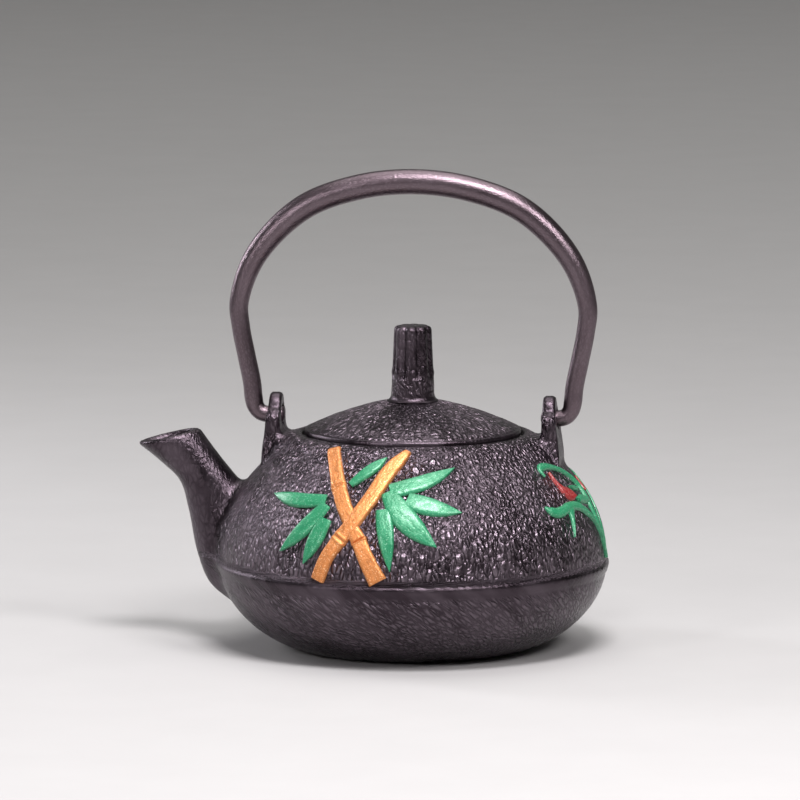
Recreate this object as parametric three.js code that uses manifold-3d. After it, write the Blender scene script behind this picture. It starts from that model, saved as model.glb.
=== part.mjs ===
/**
 * Cast-iron teapot with a swinging bail, a lidded mouth and a lift-out infuser.
 *
 * Millimetres, +Z up. The origin is the middle of the flat base. The spout points along -X, the bamboo
 * faces -Y, and the bail swings about a line parallel to X.
 */
import * as THREE from 'three';
import { mergeVertices } from 'three/addons/utils/BufferGeometryUtils.js';
import { ParametricGeometry } from 'three/addons/geometries/ParametricGeometry.js';
import Module from 'manifold-3d';

const wasm = await Module();
wasm.setup();

// ---------------------------------------------------------------- driving dimensions

const CLEARANCE = 0.3;            // between pieces that rest on or sit in each other

// Casting: bowl, belt and shoulder
const BASE_RADIUS = 33;
const BELT_RADIUS = 56;
const BELT_TOP = 24.4;
const BELT_WIDTH = 2.8;           // from the bowl's edge up to the top of the belt
const BELT_PROUD = 1;             // how far the belt stands out of the bowl and the shoulder
const BODY_HEIGHT = 61.2;         // base to the rim round the lid
const RIM_DROP = 1.8;             // height of the rounded edge at the top of the shoulder
const BODY_WALL = 3.2;

// Mouth
const MOUTH_RADIUS = 27.6;        // bore that the infuser passes through
const MOUTH_LEDGE_WIDTH = 3.8;    // recess that the infuser's flange and the lid sit in
const MOUTH_LEDGE_DEPTH = 2.3;
const RIM_WIDTH = 4.6;            // from the wall of the recess out to the edge of the shoulder

// Enamel on the inside
const ENAMEL_THICKNESS = 0.5;

// Spout
const SPOUT_WALL = 2.4;
const SPOUT_REACH = 23.2;         // from the belt out to the tip
const SPOUT_TIP_DROP = 4.2;       // tip below the rim
const SPOUT_MOUTH_LENGTH = 18.3;  // along the mouth, from the tip back towards the lid
const SPOUT_MOUTH_RISE = 4.3;     // how much higher the back of the mouth is than the tip
const SPOUT_ROOT_HALF_WIDTH = 10.5;
const SPOUT_NECK_HALF_WIDTH = 7;

// Ears and the bail's pivot
const PIVOT_RISE = 4.4;           // pivot above the rim
const EAR_SET_OUT = 1.4;          // from the edge of the shoulder out to the ear
const EAR_THICKNESS = 3.6;
const EAR_FOOT_THICKNESS = 5;
const EAR_HALF_WIDTH = 7.6;
const EAR_LOBE_RADIUS = 4.4;
const EAR_SIDE_LOBE_RADIUS = 3.5;
const PIN_RADIUS = 2.35;
const PIN_CLEARANCE = 0.35;       // between the bail's end and the hole in the ear
const PIN_OVERHANG = 0.8;         // how far the bail's end shows inside the ear

// Bail
const BAIL_RISE = 66.9;           // pivot to the middle of the grip
const BAIL_BELLY = 5;             // how much wider the arch is than its feet, each side
const BAIL_LEG_RADIUS = 2.6;
const BAIL_GRIP_RADIUS = 3.6;
const BAIL_SIDE_CLEARANCE = 1.1;  // between the bail's leg and the outside of the ear

// Lid and knob
const LID_FIT = 0.6;              // between the lid's edge and the wall of the recess
const LID_EDGE = 0.9;             // height of the lid's upright edge
const LID_DOME = 9.2;             // edge to the foot of the knob
const LID_WALL = 2.8;
const LID_SKIRT_DEPTH = 4.4;
const LID_SKIRT_WALL = 2.5;
const KNOB_HEIGHT = 21;
const KNOB_FOOT_RADIUS = 6.2;
const KNOB_TOP_RADIUS = 5.3;
const KNOB_LOBES = 8;
const KNOB_LOBE_START = 7;      // height of the plain foot below the lobes
const TENON_RADIUS = 2.3;
const TENON_HEAD_RADIUS = 3.4;
const TENON_HEAD_THICKNESS = 1.1;
const WASHER_RADIUS = 5.6;
const WASHER_THICKNESS = 0.8;

// Infuser
const INFUSER_DEPTH = 32;         // below its flange
const INFUSER_SHEET = 0.7;
const INFUSER_FIT = 0.8;          // between the basket and the mouth's bore, each side
const INFUSER_BAND = 5.4;         // solid band below the flange
const INFUSER_BASE_RING_WIDTH = 3;
const INFUSER_BASE_RING_HEIGHT = 1.6;

// Raised pattern
const RELIEF_HEIGHT = 1.1;
const STALK_HEIGHT = 1.5;
const STALK_WIDTH = 4.5;

// Shoulder that the pattern's angles, heights and widths are drawn for. It stretches to the real one.
const PATTERN_RADIUS = 56;
const PATTERN_BOTTOM = 24.4;
const PATTERN_TOP = 61.2;

// Facets
const ROUND_STEPS = 48;
const SMALL_ROUND_STEPS = 24;

// ---------------------------------------------------------------- finishes

function finish(color, roughness, metalness) {
  return new THREE.MeshStandardMaterial({ color, roughness, metalness });
}

const castIron = finish(0x2b2426, 0.55, 0.8);
const smoothIron = finish(0x2f2829, 0.4, 0.85);
const enamel = finish(0x1b1a1c, 0.2, 0);
const stainless = finish(0xb9babd, 0.3, 1);
const copperPaint = finish(0xc97f3c, 0.45, 0.4);
const greenPaint = finish(0x3f9a68, 0.5, 0.1);
const redPaint = finish(0xa8322f, 0.5, 0.1);

// ---------------------------------------------------------------- helpers

const TURN = 2 * Math.PI;
const at = (x, y) => new THREE.Vector2(x, y);

/** A closed geometry as a solid that can be cut and joined. */
function solid(geometry) {
  geometry.deleteAttribute('normal');
  geometry.deleteAttribute('uv');
  const merged = mergeVertices(geometry);
  const corners = merged.index.array;
  const kept = [];
  for (let i = 0; i < corners.length; i += 3) {
    const [a, b, c] = corners.subarray(i, i + 3);
    const collapsed = a === b || b === c || c === a;
    if (!collapsed) kept.push(a, b, c);
  }
  return new wasm.Manifold(new wasm.Mesh({
    numProp: 3,
    vertProperties: Float32Array.from(merged.attributes.position.array),
    triVerts: Uint32Array.from(kept),
  }));
}

/** A (radius, height) outline turned about the pot's axis. */
function turned(outline, steps = ROUND_STEPS) {
  const lathe = new THREE.LatheGeometry(outline, steps);
  lathe.rotateX(Math.PI / 2);
  return solid(lathe);
}

/**
 * A solid skinned over rings. place(angle, along) gives a point of the skin, with along from 0 to 1,
 * and both ends close on their own middle.
 */
function lofted(place, sides, rings) {
  const middle = (along) => {
    const sum = new THREE.Vector3();
    for (let i = 0; i < sides; i += 1) sum.add(place(TURN * i / sides, along));
    return sum.divideScalar(sides);
  };
  const skin = (u, v, target) => {
    const ring = Math.round(v * (rings + 2)) - 1;
    const along = THREE.MathUtils.clamp(ring / rings, 0, 1);
    const isCap = ring < 0 || ring > rings;
    target.copy(isCap ? middle(along) : place(TURN * (u % 1), along));
  };
  return solid(new ParametricGeometry(skin, sides, rings + 2));
}

/** A flat outline drawn in (Y, Z), made thick along X from x = 0. */
function plateAcrossX(shape, thickness, curveSegments = 8) {
  const plate = new THREE.ExtrudeGeometry(shape, { depth: thickness, bevelEnabled: false, curveSegments });
  plate.rotateX(Math.PI / 2);
  plate.rotateZ(Math.PI / 2);
  return solid(plate);
}

const teapot = new THREE.Group();

/** Puts a finished solid into the group as a named mesh. */
function addPiece(name, shape, material) {
  const { vertProperties, triVerts } = shape.getMesh();
  const geometry = new THREE.BufferGeometry();
  geometry.setAttribute('position', new THREE.BufferAttribute(vertProperties, 3));
  geometry.setIndex(new THREE.BufferAttribute(triVerts, 1));
  geometry.computeVertexNormals();
  const mesh = new THREE.Mesh(geometry, material);
  mesh.name = name;
  teapot.add(mesh);
}

// ---------------------------------------------------------------- body curves

const BELT_BOTTOM = BELT_TOP - BELT_WIDTH;

/** Lower bowl from the flat base to the belt, moved in by inset. */
function bowlCurve(inset) {
  const top = BELT_RADIUS - BELT_PROUD - inset;
  return new THREE.CubicBezierCurve(
    at(BASE_RADIUS - inset * 0.25, inset),
    at(BASE_RADIUS + 10 - inset * 0.4, 2.5 + inset),
    at(top - 1.6, 11 + inset * 0.5),
    at(top, BELT_BOTTOM),
  );
}

const LEDGE_RADIUS = MOUTH_RADIUS + MOUTH_LEDGE_WIDTH;
const LEDGE_HEIGHT = BODY_HEIGHT - MOUTH_LEDGE_DEPTH;
const SHOULDER_RADIUS = LEDGE_RADIUS + RIM_WIDTH;

/** Shoulder from the belt up to its edge round the rim, moved in by inset. */
function shoulderCurve(inset) {
  const foot = BELT_RADIUS - BELT_PROUD + 0.2 - inset;
  const topHeight = BODY_HEIGHT - RIM_DROP;
  const slope = inset * Math.SQRT1_2;
  return new THREE.CubicBezierCurve(
    at(foot, BELT_TOP + 0.4),
    at(foot - 0.5, topHeight - 18.4 - inset * 0.3),
    at(foot - 6.4 + inset - slope, topHeight - 13.4 - slope),
    at(SHOULDER_RADIUS - slope, topHeight - slope),
  );
}

/** Rounded edge between the shoulder and the flat rim. */
function rimCurve() {
  return new THREE.CubicBezierCurve(
    at(SHOULDER_RADIUS, BODY_HEIGHT - RIM_DROP),
    at(SHOULDER_RADIUS - 1, BODY_HEIGHT - 0.8),
    at(SHOULDER_RADIUS - 2.4, BODY_HEIGHT - 0.2),
    at(SHOULDER_RADIUS - 3.8, BODY_HEIGHT),
  );
}

const shoulderPoints = shoulderCurve(0).getPoints(9);
const rimPoints = rimCurve().getPoints(3);

// The skin that the ears and the raised pattern stand on, from the belt to the rim.
const skinPoints = [...shoulderPoints, ...rimPoints.slice(1)];

/** Radius, height and outward normal of the shoulder's skin at a height. */
function skinAt(height) {
  const next = skinPoints.findIndex((point) => point.y >= height);
  const i = next < 1 ? 1 : next;
  const low = skinPoints[i - 1];
  const high = skinPoints[i];
  const share = (height - low.y) / (high.y - low.y);
  const along = high.clone().sub(low).normalize();
  return { radius: low.x + share * (high.x - low.x), height, outward: at(along.y, -along.x), along };
}

/** Height of the shoulder's skin at a radius. */
function skinHeightAt(radius) {
  const i = skinPoints.findIndex((point) => point.x <= radius);
  return i < 0 ? BODY_HEIGHT : skinPoints[i].y;
}

// ---------------------------------------------------------------- body casting

const PIVOT_HEIGHT = BODY_HEIGHT + PIVOT_RISE;
const EAR_INNER_X = SHOULDER_RADIUS + EAR_SET_OUT;

function bodyOutside() {
  return turned([
    at(0, 0),
    ...bowlCurve(0).getPoints(7),
    at(BELT_RADIUS - 0.6, BELT_BOTTOM + 0.3),
    at(BELT_RADIUS, BELT_TOP),
    ...skinPoints,
    at(0, BODY_HEIGHT),
  ]);
}

/** The hollow of the pot, closed off level under the neck. */
function bodyHollow() {
  const neck = shoulderCurve(BODY_WALL).getPoints(6);
  return turned([
    at(0, BODY_WALL),
    ...bowlCurve(BODY_WALL).getPoints(5),
    ...neck,
    at(0, neck[neck.length - 1].y),
  ]);
}

/** The bore of the mouth and the ledge for the infuser's flange. */
function mouthCut() {
  const below = BODY_HEIGHT - 3 * BODY_WALL;
  const above = BODY_HEIGHT + 1;
  return turned([
    at(0, below),
    at(MOUTH_RADIUS, below),
    at(MOUTH_RADIUS, LEDGE_HEIGHT),
    at(LEDGE_RADIUS, LEDGE_HEIGHT),
    at(LEDGE_RADIUS, above),
    at(0, above),
  ]);
}

// ---------------------------------------------------------------- spout

const TIP_X = BELT_RADIUS + SPOUT_REACH;
const SPOUT_TIP_HEIGHT = BODY_HEIGHT - SPOUT_TIP_DROP;

/** A curve in the plane Y = 0 from pairs of (distance along -X, share of the tip's height). */
function profileCurve(pairs) {
  const points = pairs.map(([out, share]) => new THREE.Vector3(-out, 0, share * SPOUT_TIP_HEIGHT));
  return new THREE.CatmullRomCurve3(points);
}

const spoutUnder = profileCurve([
  [BELT_RADIUS - 12, 0.175],
  [BELT_RADIUS - 4, 0.21],
  [BELT_RADIUS + 0.1 * SPOUT_REACH, 0.297],
  [BELT_RADIUS + 0.26 * SPOUT_REACH, 0.456],
  [BELT_RADIUS + 0.36 * SPOUT_REACH, 0.66],
  [BELT_RADIUS + 0.47 * SPOUT_REACH, 0.81],
  [BELT_RADIUS + 0.715 * SPOUT_REACH, 0.909],
  [TIP_X, 1],
]);

const OVER_ROOT_X = BELT_RADIUS - 10.5;
const OVER_LENGTH = TIP_X - SPOUT_MOUTH_LENGTH + 0.5 - OVER_ROOT_X;

const spoutOver = profileCurve([
  [OVER_ROOT_X - 3.5, 0.702],
  [OVER_ROOT_X - 2, 0.772],
  [OVER_ROOT_X, 0.8],
  [OVER_ROOT_X + 0.19 * OVER_LENGTH, 0.814],
  [OVER_ROOT_X + 0.35 * OVER_LENGTH, 0.839],
  [OVER_ROOT_X + 0.535 * OVER_LENGTH, 0.893],
  [OVER_ROOT_X + 0.75 * OVER_LENGTH, 0.975],
  [OVER_ROOT_X + OVER_LENGTH, 1 + SPOUT_MOUTH_RISE / SPOUT_TIP_HEIGHT],
]);

/** Direction that tea leaves the mouth in, square to the mouth. */
const pourDirection = new THREE.Vector3(-SPOUT_MOUTH_RISE, 0, SPOUT_MOUTH_LENGTH).normalize();

/** The spout's skin moved in by inset, and carried past its mouth by overrun. */
function spout(inset, overrun) {
  const rings = 18;
  const place = (angle, along) => {
    const t = Math.min(along * (1 + overrun / 40), 1);
    const under = spoutUnder.getPoint(t);
    const over = spoutOver.getPoint(t);
    const middle = under.clone().lerp(over, 0.5);
    const half = over.clone().sub(middle);
    half.setLength(half.length() - inset);
    const narrow = THREE.MathUtils.smoothstep(t, 0.1, 0.65);
    const width = THREE.MathUtils.lerp(SPOUT_ROOT_HALF_WIDTH, SPOUT_NECK_HALF_WIDTH, narrow) - inset;
    const flare = 1 + 0.1 * THREE.MathUtils.smoothstep(t, 0.75, 1);
    middle.addScaledVector(half, Math.cos(angle));
    middle.y += width * flare * Math.sin(angle);
    if (along === 1) middle.addScaledVector(pourDirection, overrun);
    return middle;
  };
  return lofted(place, 20, rings);
}

// ---------------------------------------------------------------- ears

/** Lobed outline of an ear, seen along X. */
function earOutline(footHeight) {
  const lobeHeight = PIVOT_HEIGHT + 2;
  const sideHeight = PIVOT_HEIGHT - 1.2;
  const sideY = EAR_HALF_WIDTH - EAR_SIDE_LOBE_RADIUS;
  const shape = new THREE.Shape();
  shape.moveTo(-EAR_HALF_WIDTH - 0.8, footHeight);
  shape.lineTo(EAR_HALF_WIDTH + 0.8, footHeight);
  shape.lineTo(EAR_HALF_WIDTH - 0.9, sideHeight - 3);
  shape.absarc(sideY, sideHeight, EAR_SIDE_LOBE_RADIUS, -0.25 * Math.PI, 0.42 * Math.PI);
  shape.absarc(0, lobeHeight, EAR_LOBE_RADIUS, 0.02 * Math.PI, 0.98 * Math.PI);
  shape.absarc(-sideY, sideHeight, EAR_SIDE_LOBE_RADIUS, 0.58 * Math.PI, 1.25 * Math.PI);
  shape.closePath();
  const hole = new THREE.Path();
  hole.absarc(0, PIVOT_HEIGHT, PIN_RADIUS + PIN_CLEARANCE, 0, TURN, true);
  shape.holes.push(hole);
  return shape;
}

const EAR_FOOT_HEIGHT = skinHeightAt(EAR_INNER_X + EAR_FOOT_THICKNESS) - 0.6 * BODY_WALL;

/** Outline of the ear seen along Y: a straight inner face and an outer face that flares at the foot. */
function earTaper() {
  const top = PIVOT_HEIGHT + 7;
  const shape = new THREE.Shape();
  shape.moveTo(0, EAR_FOOT_HEIGHT);
  shape.lineTo(EAR_FOOT_THICKNESS, EAR_FOOT_HEIGHT);
  shape.lineTo(EAR_FOOT_THICKNESS, THREE.MathUtils.lerp(EAR_FOOT_HEIGHT, top, 0.3));
  shape.lineTo(EAR_THICKNESS, THREE.MathUtils.lerp(EAR_FOOT_HEIGHT, top, 0.57));
  shape.lineTo(EAR_THICKNESS - 0.4, top);
  shape.lineTo(0.4, top);
  shape.closePath();
  const width = 4 * EAR_HALF_WIDTH;
  const block = new THREE.ExtrudeGeometry(shape, { depth: width, bevelEnabled: false });
  block.rotateX(Math.PI / 2);
  block.translate(0, width / 2, 0);
  return solid(block);
}

/** One ear on the +X side. */
function ear() {
  const plate = plateAcrossX(earOutline(EAR_FOOT_HEIGHT), EAR_FOOT_THICKNESS);
  return plate.intersect(earTaper()).translate([EAR_INNER_X, 0, 0]);
}

const channel = spout(SPOUT_WALL, 4);

function addBody() {
  const rightEar = ear();
  const body = bodyOutside()
    .add(spout(0, 0))
    .add(rightEar)
    .add(rightEar.mirror([1, 0, 0]))
    .subtract(bodyHollow())
    .subtract(mouthCut())
    .subtract(channel);
  addPiece('pot_body', body, castIron);
}

function addEnamel() {
  const outside = BODY_WALL + CLEARANCE;
  const inside = outside + ENAMEL_THICKNESS;
  const shell = turned([
    at(0, outside),
    ...bowlCurve(outside).getPoints(5),
    ...shoulderCurve(outside).getPoints(6),
    ...shoulderCurve(inside).getPoints(6).reverse(),
    ...bowlCurve(inside).getPoints(5).reverse(),
    at(0, inside),
  ]);
  addPiece('enamel_lining', shell.subtract(channel), enamel);
}

// ---------------------------------------------------------------- bail handle

const LEG_X = EAR_INNER_X + EAR_THICKNESS + BAIL_SIDE_CLEARANCE + BAIL_LEG_RADIUS;

/** Half of the bail's middle line, from the foot of the +X leg to just short of the grip's middle. */
const bailSide = [
  [LEG_X, 3.4],
  [LEG_X + 0.28 * BAIL_BELLY, 9],
  [LEG_X + 0.58 * BAIL_BELLY, 16.4],
  [LEG_X + 0.9 * BAIL_BELLY, 24.6],
  [LEG_X + BAIL_BELLY, 0.48 * BAIL_RISE],
  [LEG_X + 0.02 * BAIL_BELLY, 0.68 * BAIL_RISE],
  [0.71 * LEG_X, 0.88 * BAIL_RISE],
  [0.36 * LEG_X, 0.972 * BAIL_RISE],
];

function onBail(x, rise) {
  return new THREE.Vector3(x, 0, PIVOT_HEIGHT + rise);
}

/** A pin through the ear and the bend up into the leg, for side = 1 (+X) or -1 (-X), pin end first. */
function bailFoot(side) {
  const tip = onBail(side * (EAR_INNER_X - PIN_OVERHANG), 0);
  const bendStart = onBail(side * (EAR_INNER_X + EAR_THICKNESS + 0.4), 0);
  const corner = onBail(side * LEG_X, 0);
  const bendEnd = onBail(side * bailSide[0][0], bailSide[0][1]);
  return [
    new THREE.LineCurve3(tip, bendStart),
    new THREE.QuadraticBezierCurve3(bendStart, corner, bendEnd),
  ];
}

function backwards(curve) {
  return curve instanceof THREE.LineCurve3
    ? new THREE.LineCurve3(curve.v2, curve.v1)
    : new THREE.QuadraticBezierCurve3(curve.v2, curve.v1, curve.v0);
}

function bailCurve() {
  const arch = [
    ...bailSide.map(([x, rise]) => onBail(-x, rise)),
    onBail(0, BAIL_RISE),
    ...[...bailSide].reverse().map(([x, rise]) => onBail(x, rise)),
  ];
  const path = new THREE.CurvePath();
  bailFoot(-1).forEach((curve) => path.add(curve));
  path.add(new THREE.CatmullRomCurve3(arch));
  bailFoot(1).reverse().forEach((curve) => path.add(backwards(curve)));
  return path;
}

/** Bar radius from its height above the pivot: the pin, the slim leg and the stout grip. */
function barRadius(rise) {
  const leg = THREE.MathUtils.lerp(PIN_RADIUS, BAIL_LEG_RADIUS, THREE.MathUtils.smoothstep(rise, 0.2, 5));
  return THREE.MathUtils.lerp(leg, BAIL_GRIP_RADIUS, THREE.MathUtils.smoothstep(rise, 22, BAIL_RISE - 4));
}

function addBail() {
  const path = bailCurve();
  const across = new THREE.Vector3(0, 1, 0);
  const place = (angle, along) => {
    const point = path.getPointAt(along);
    const tangent = path.getTangentAt(along);
    const inPlane = across.clone().cross(tangent).normalize();
    const radius = barRadius(point.z - PIVOT_HEIGHT);
    return point
      .addScaledVector(inPlane, radius * Math.cos(angle))
      .addScaledVector(across, radius * Math.sin(angle));
  };
  addPiece('bail_handle', lofted(place, 10, 60), smoothIron);
}

// ---------------------------------------------------------------- infuser

const INFUSER_RADIUS = MOUTH_RADIUS - INFUSER_FIT;
const FLANGE_BOTTOM = LEDGE_HEIGHT + CLEARANCE;
const BAND_BOTTOM = FLANGE_BOTTOM - INFUSER_BAND;
const INFUSER_BOTTOM = FLANGE_BOTTOM - INFUSER_DEPTH;

/** A closed ring between two radii and two heights. */
function ring(inner, outer, bottom, top, steps = ROUND_STEPS) {
  const corners = [at(inner, bottom), at(outer, bottom), at(outer, top), at(inner, top), at(inner, bottom)];
  return turned(corners, steps);
}

function disc(radius, bottom, top, steps = ROUND_STEPS) {
  return turned([at(0, bottom), at(radius, bottom), at(radius, top), at(0, top)], steps);
}

function addInfuser() {
  const inside = INFUSER_RADIUS - INFUSER_SHEET;
  const flange = turned([
    at(INFUSER_RADIUS, BAND_BOTTOM),
    at(INFUSER_RADIUS, FLANGE_BOTTOM),
    at(LEDGE_RADIUS - CLEARANCE, FLANGE_BOTTOM),
    at(LEDGE_RADIUS - CLEARANCE, FLANGE_BOTTOM + INFUSER_SHEET),
    at(inside, FLANGE_BOTTOM + INFUSER_SHEET),
    at(inside, BAND_BOTTOM),
    at(INFUSER_RADIUS, BAND_BOTTOM),
  ]);
  const ringTop = INFUSER_BOTTOM + INFUSER_BASE_RING_HEIGHT;
  const ringInside = INFUSER_RADIUS - INFUSER_BASE_RING_WIDTH;
  addPiece('infuser_rim', flange, stainless);
  addPiece(
    'infuser_wall_mesh',
    ring(inside, INFUSER_RADIUS, ringTop + CLEARANCE, BAND_BOTTOM - CLEARANCE),
    stainless,
  );
  addPiece('infuser_base_ring', ring(ringInside, INFUSER_RADIUS, INFUSER_BOTTOM, ringTop), stainless);
  addPiece(
    'infuser_base_mesh',
    disc(ringInside - CLEARANCE, INFUSER_BOTTOM, INFUSER_BOTTOM + INFUSER_SHEET),
    stainless,
  );
}

// ---------------------------------------------------------------- lid, knob and washer

const LID_RADIUS = LEDGE_RADIUS - LID_FIT;
const LID_BOTTOM = FLANGE_BOTTOM + INFUSER_SHEET + CLEARANCE;
const LID_RIM_TOP = LID_BOTTOM + LID_EDGE;
const LID_TOP = LID_RIM_TOP + LID_DOME;
const LID_UNDERSIDE = LID_TOP - LID_WALL;
const SKIRT_RADIUS = INFUSER_RADIUS - INFUSER_SHEET - 2 * CLEARANCE;
const WASHER_BOTTOM = LID_UNDERSIDE - CLEARANCE - WASHER_THICKNESS;

function addLid() {
  const dome = new THREE.CubicBezierCurve(
    at(LID_RADIUS, LID_RIM_TOP),
    at(LID_RADIUS - 3.2, LID_RIM_TOP + 2.5),
    at(KNOB_FOOT_RADIUS + 11.3, LID_TOP - 2.1),
    at(KNOB_FOOT_RADIUS, LID_TOP),
  );
  const skirtInside = SKIRT_RADIUS - LID_SKIRT_WALL;
  const vault = new THREE.QuadraticBezierCurve(
    at(WASHER_RADIUS + 1, LID_UNDERSIDE),
    at(WASHER_RADIUS + 11, LID_UNDERSIDE - 0.6),
    at(skirtInside, LID_BOTTOM + 1),
  );
  const bore = TENON_RADIUS + CLEARANCE;
  addPiece('lid', turned([
    at(bore, LID_UNDERSIDE),
    ...vault.getPoints(5),
    at(skirtInside, LID_BOTTOM - LID_SKIRT_DEPTH),
    at(SKIRT_RADIUS, LID_BOTTOM - LID_SKIRT_DEPTH),
    at(SKIRT_RADIUS, LID_BOTTOM),
    at(LID_RADIUS, LID_BOTTOM),
    ...dome.getPoints(7),
    at(bore, LID_TOP),
    at(bore, LID_UNDERSIDE),
  ]), castIron);
}

/** Distance from the knob's middle to a section made of equal round lobes, as a share of its radius. */
function lobed(angle) {
  const share = TURN / KNOB_LOBES;
  const local = ((angle + share / 2) % share) - share / 2;
  const offset = 0.62;
  const lobe = 1 - offset;
  const side = offset * Math.sin(local);
  return offset * Math.cos(local) + Math.sqrt(lobe * lobe - side * side);
}

function addKnob() {
  const foot = LID_TOP + CLEARANCE;
  const headBottom = WASHER_BOTTOM - CLEARANCE - TENON_HEAD_THICKNESS;
  const headTop = headBottom + TENON_HEAD_THICKNESS;
  const tenon = turned([
    at(0, headBottom),
    at(TENON_HEAD_RADIUS, headBottom),
    at(TENON_HEAD_RADIUS, headTop),
    at(TENON_RADIUS, headTop),
    at(TENON_RADIUS, foot + 1),
    at(0, foot + 1),
  ], SMALL_ROUND_STEPS);
  const rings = 11;
  const place = (angle, along) => {
    const rise = along * KNOB_HEIGHT;
    const taper = THREE.MathUtils.lerp(KNOB_FOOT_RADIUS, KNOB_TOP_RADIUS, along);
    const lobes = THREE.MathUtils.smoothstep(rise, KNOB_LOBE_START - 1, KNOB_LOBE_START + 1);
    const crown = 1 - 0.16 * THREE.MathUtils.smoothstep(along, 0.9, 1);
    const radius = taper * crown * THREE.MathUtils.lerp(1, lobed(angle), lobes);
    return new THREE.Vector3(radius * Math.cos(angle), radius * Math.sin(angle), foot + rise);
  };
  addPiece('lid_knob', lofted(place, 40, rings).add(tenon), castIron);
}

function addWasher() {
  const hole = TENON_RADIUS + CLEARANCE;
  const top = WASHER_BOTTOM + WASHER_THICKNESS;
  addPiece('knob_washer', ring(hole, WASHER_RADIUS, WASHER_BOTTOM, top, SMALL_ROUND_STEPS), stainless);
}

// ---------------------------------------------------------------- raised pattern

/** A point over the shoulder's skin. Azimuth is in degrees from -Y towards +X; lift is along the normal. */
function overSkin(azimuth, height, lift) {
  const skin = skinAt(height);
  const radius = skin.radius + lift * skin.outward.x;
  const turn = THREE.MathUtils.degToRad(azimuth);
  return new THREE.Vector3(
    radius * Math.sin(turn),
    -radius * Math.cos(turn),
    skin.height + lift * skin.outward.y,
  );
}

const PATTERN_STRETCH = (BODY_HEIGHT - BELT_TOP) / (PATTERN_TOP - PATTERN_BOTTOM);
const PATTERN_SCALE = Math.min(PATTERN_STRETCH, BELT_RADIUS / PATTERN_RADIUS);

/** A drawn point of the pattern as (azimuth, height) on the real shoulder. */
function onShoulder([azimuth, height]) {
  return at(azimuth, BELT_TOP + (height - PATTERN_BOTTOM) * PATTERN_STRETCH);
}

/**
 * One raised stroke of the pattern: a lens-shaped strip that follows the skin.
 * spine is drawn [azimuth, height] pairs, and widthAt(along) gives its half width.
 */
function stroke(spine, widthAt, lift, rings = 10) {
  const curve = new THREE.SplineCurve(spine.map(onShoulder));
  const place = (angle, along) => {
    const middle = curve.getPoint(along);
    const heading = curve.getTangent(along);
    const skin = skinAt(middle.y);
    const acrossPerDegree = THREE.MathUtils.degToRad(skin.radius);
    const upPerHeight = 1 / skin.along.y;
    const direction = at(heading.x * acrossPerDegree, heading.y * upPerHeight).normalize();
    const side = PATTERN_SCALE * widthAt(along) * Math.cos(angle);
    const rise = lift * Math.max(0, Math.sin(angle)) * widthAt(along) / widthAt(0.5);
    return overSkin(
      middle.x - side * direction.y / acrossPerDegree,
      middle.y + side * direction.x / upPerHeight,
      CLEARANCE + rise,
    );
  };
  return lofted(place, 8, rings);
}

/** Half width of a leaf: a narrow foot, widest a third of the way, and a long point. */
function leafWidth(width) {
  return (along) => 0.5 * width * (0.08 + 0.92 * Math.sin(Math.PI * (0.04 + 0.93 * along) ** 0.75));
}

/** Half width of a bamboo stalk, swollen a little at its joint. */
function stalkWidth(joint) {
  return (along) => 0.5 * STALK_WIDTH * (1 + 0.12 * Math.exp(-(((along - joint) / 0.05) ** 2)));
}

/** Half width of a long grass-like blade. */
function bladeWidth(width) {
  return (along) => 0.5 * width * (0.25 + 0.75 * Math.sin(Math.PI * (0.12 + 0.8 * along)));
}

/** Leaves that grow from one foot, joined into one raised spray. */
function spray(foot, leaves) {
  return leaves
    .map(({ spine, width }) => stroke([foot, ...spine], leafWidth(width), RELIEF_HEIGHT))
    .reduce((joined, leaf) => joined.add(leaf));
}

/** Room round the +X ear that the pattern stops short of. */
function earRoom() {
  const width = 2 * (EAR_HALF_WIDTH + 0.8 + CLEARANCE);
  const box = new THREE.BoxGeometry(EAR_FOOT_THICKNESS + 2 * CLEARANCE, width, BODY_HEIGHT);
  const bottom = EAR_FOOT_HEIGHT - CLEARANCE;
  box.translate(EAR_INNER_X + EAR_FOOT_THICKNESS / 2, 0, bottom + BODY_HEIGHT / 2);
  return solid(box);
}

/** Adds one raised piece of the pattern, cut short where the ear stands in its way. */
function addRaised(name, shape, material) {
  const clear = shape.subtract(earRoom()).decompose();
  clear.sort((a, b) => b.volume() - a.volume());
  addPiece(name, clear[0], material);
}

function addBambooStalks() {
  const front = [[3.2, 60], [-3.8, 54.2], [-8.4, 47.9], [-13, 41.4], [-19.3, 32.7], [-22.1, 26.1]];
  const stalks = {
    front: { spine: front, joint: 0.7 },
    back_upper: { spine: [[-32, 60], [-26.1, 55.5], [-20.2, 49.8], [-17.4, 46.6]], joint: 0.7 },
    back_lower: { spine: [[-10.2, 37.8], [-7, 32.2], [-3.6, 26.3]], joint: 0.25 },
  };
  Object.entries(stalks).forEach(([place, { spine, joint }]) => {
    addRaised(`bamboo_stalk_${place}`, stroke(spine, stalkWidth(joint), STALK_HEIGHT, 18), copperPaint);
  });
}

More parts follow.
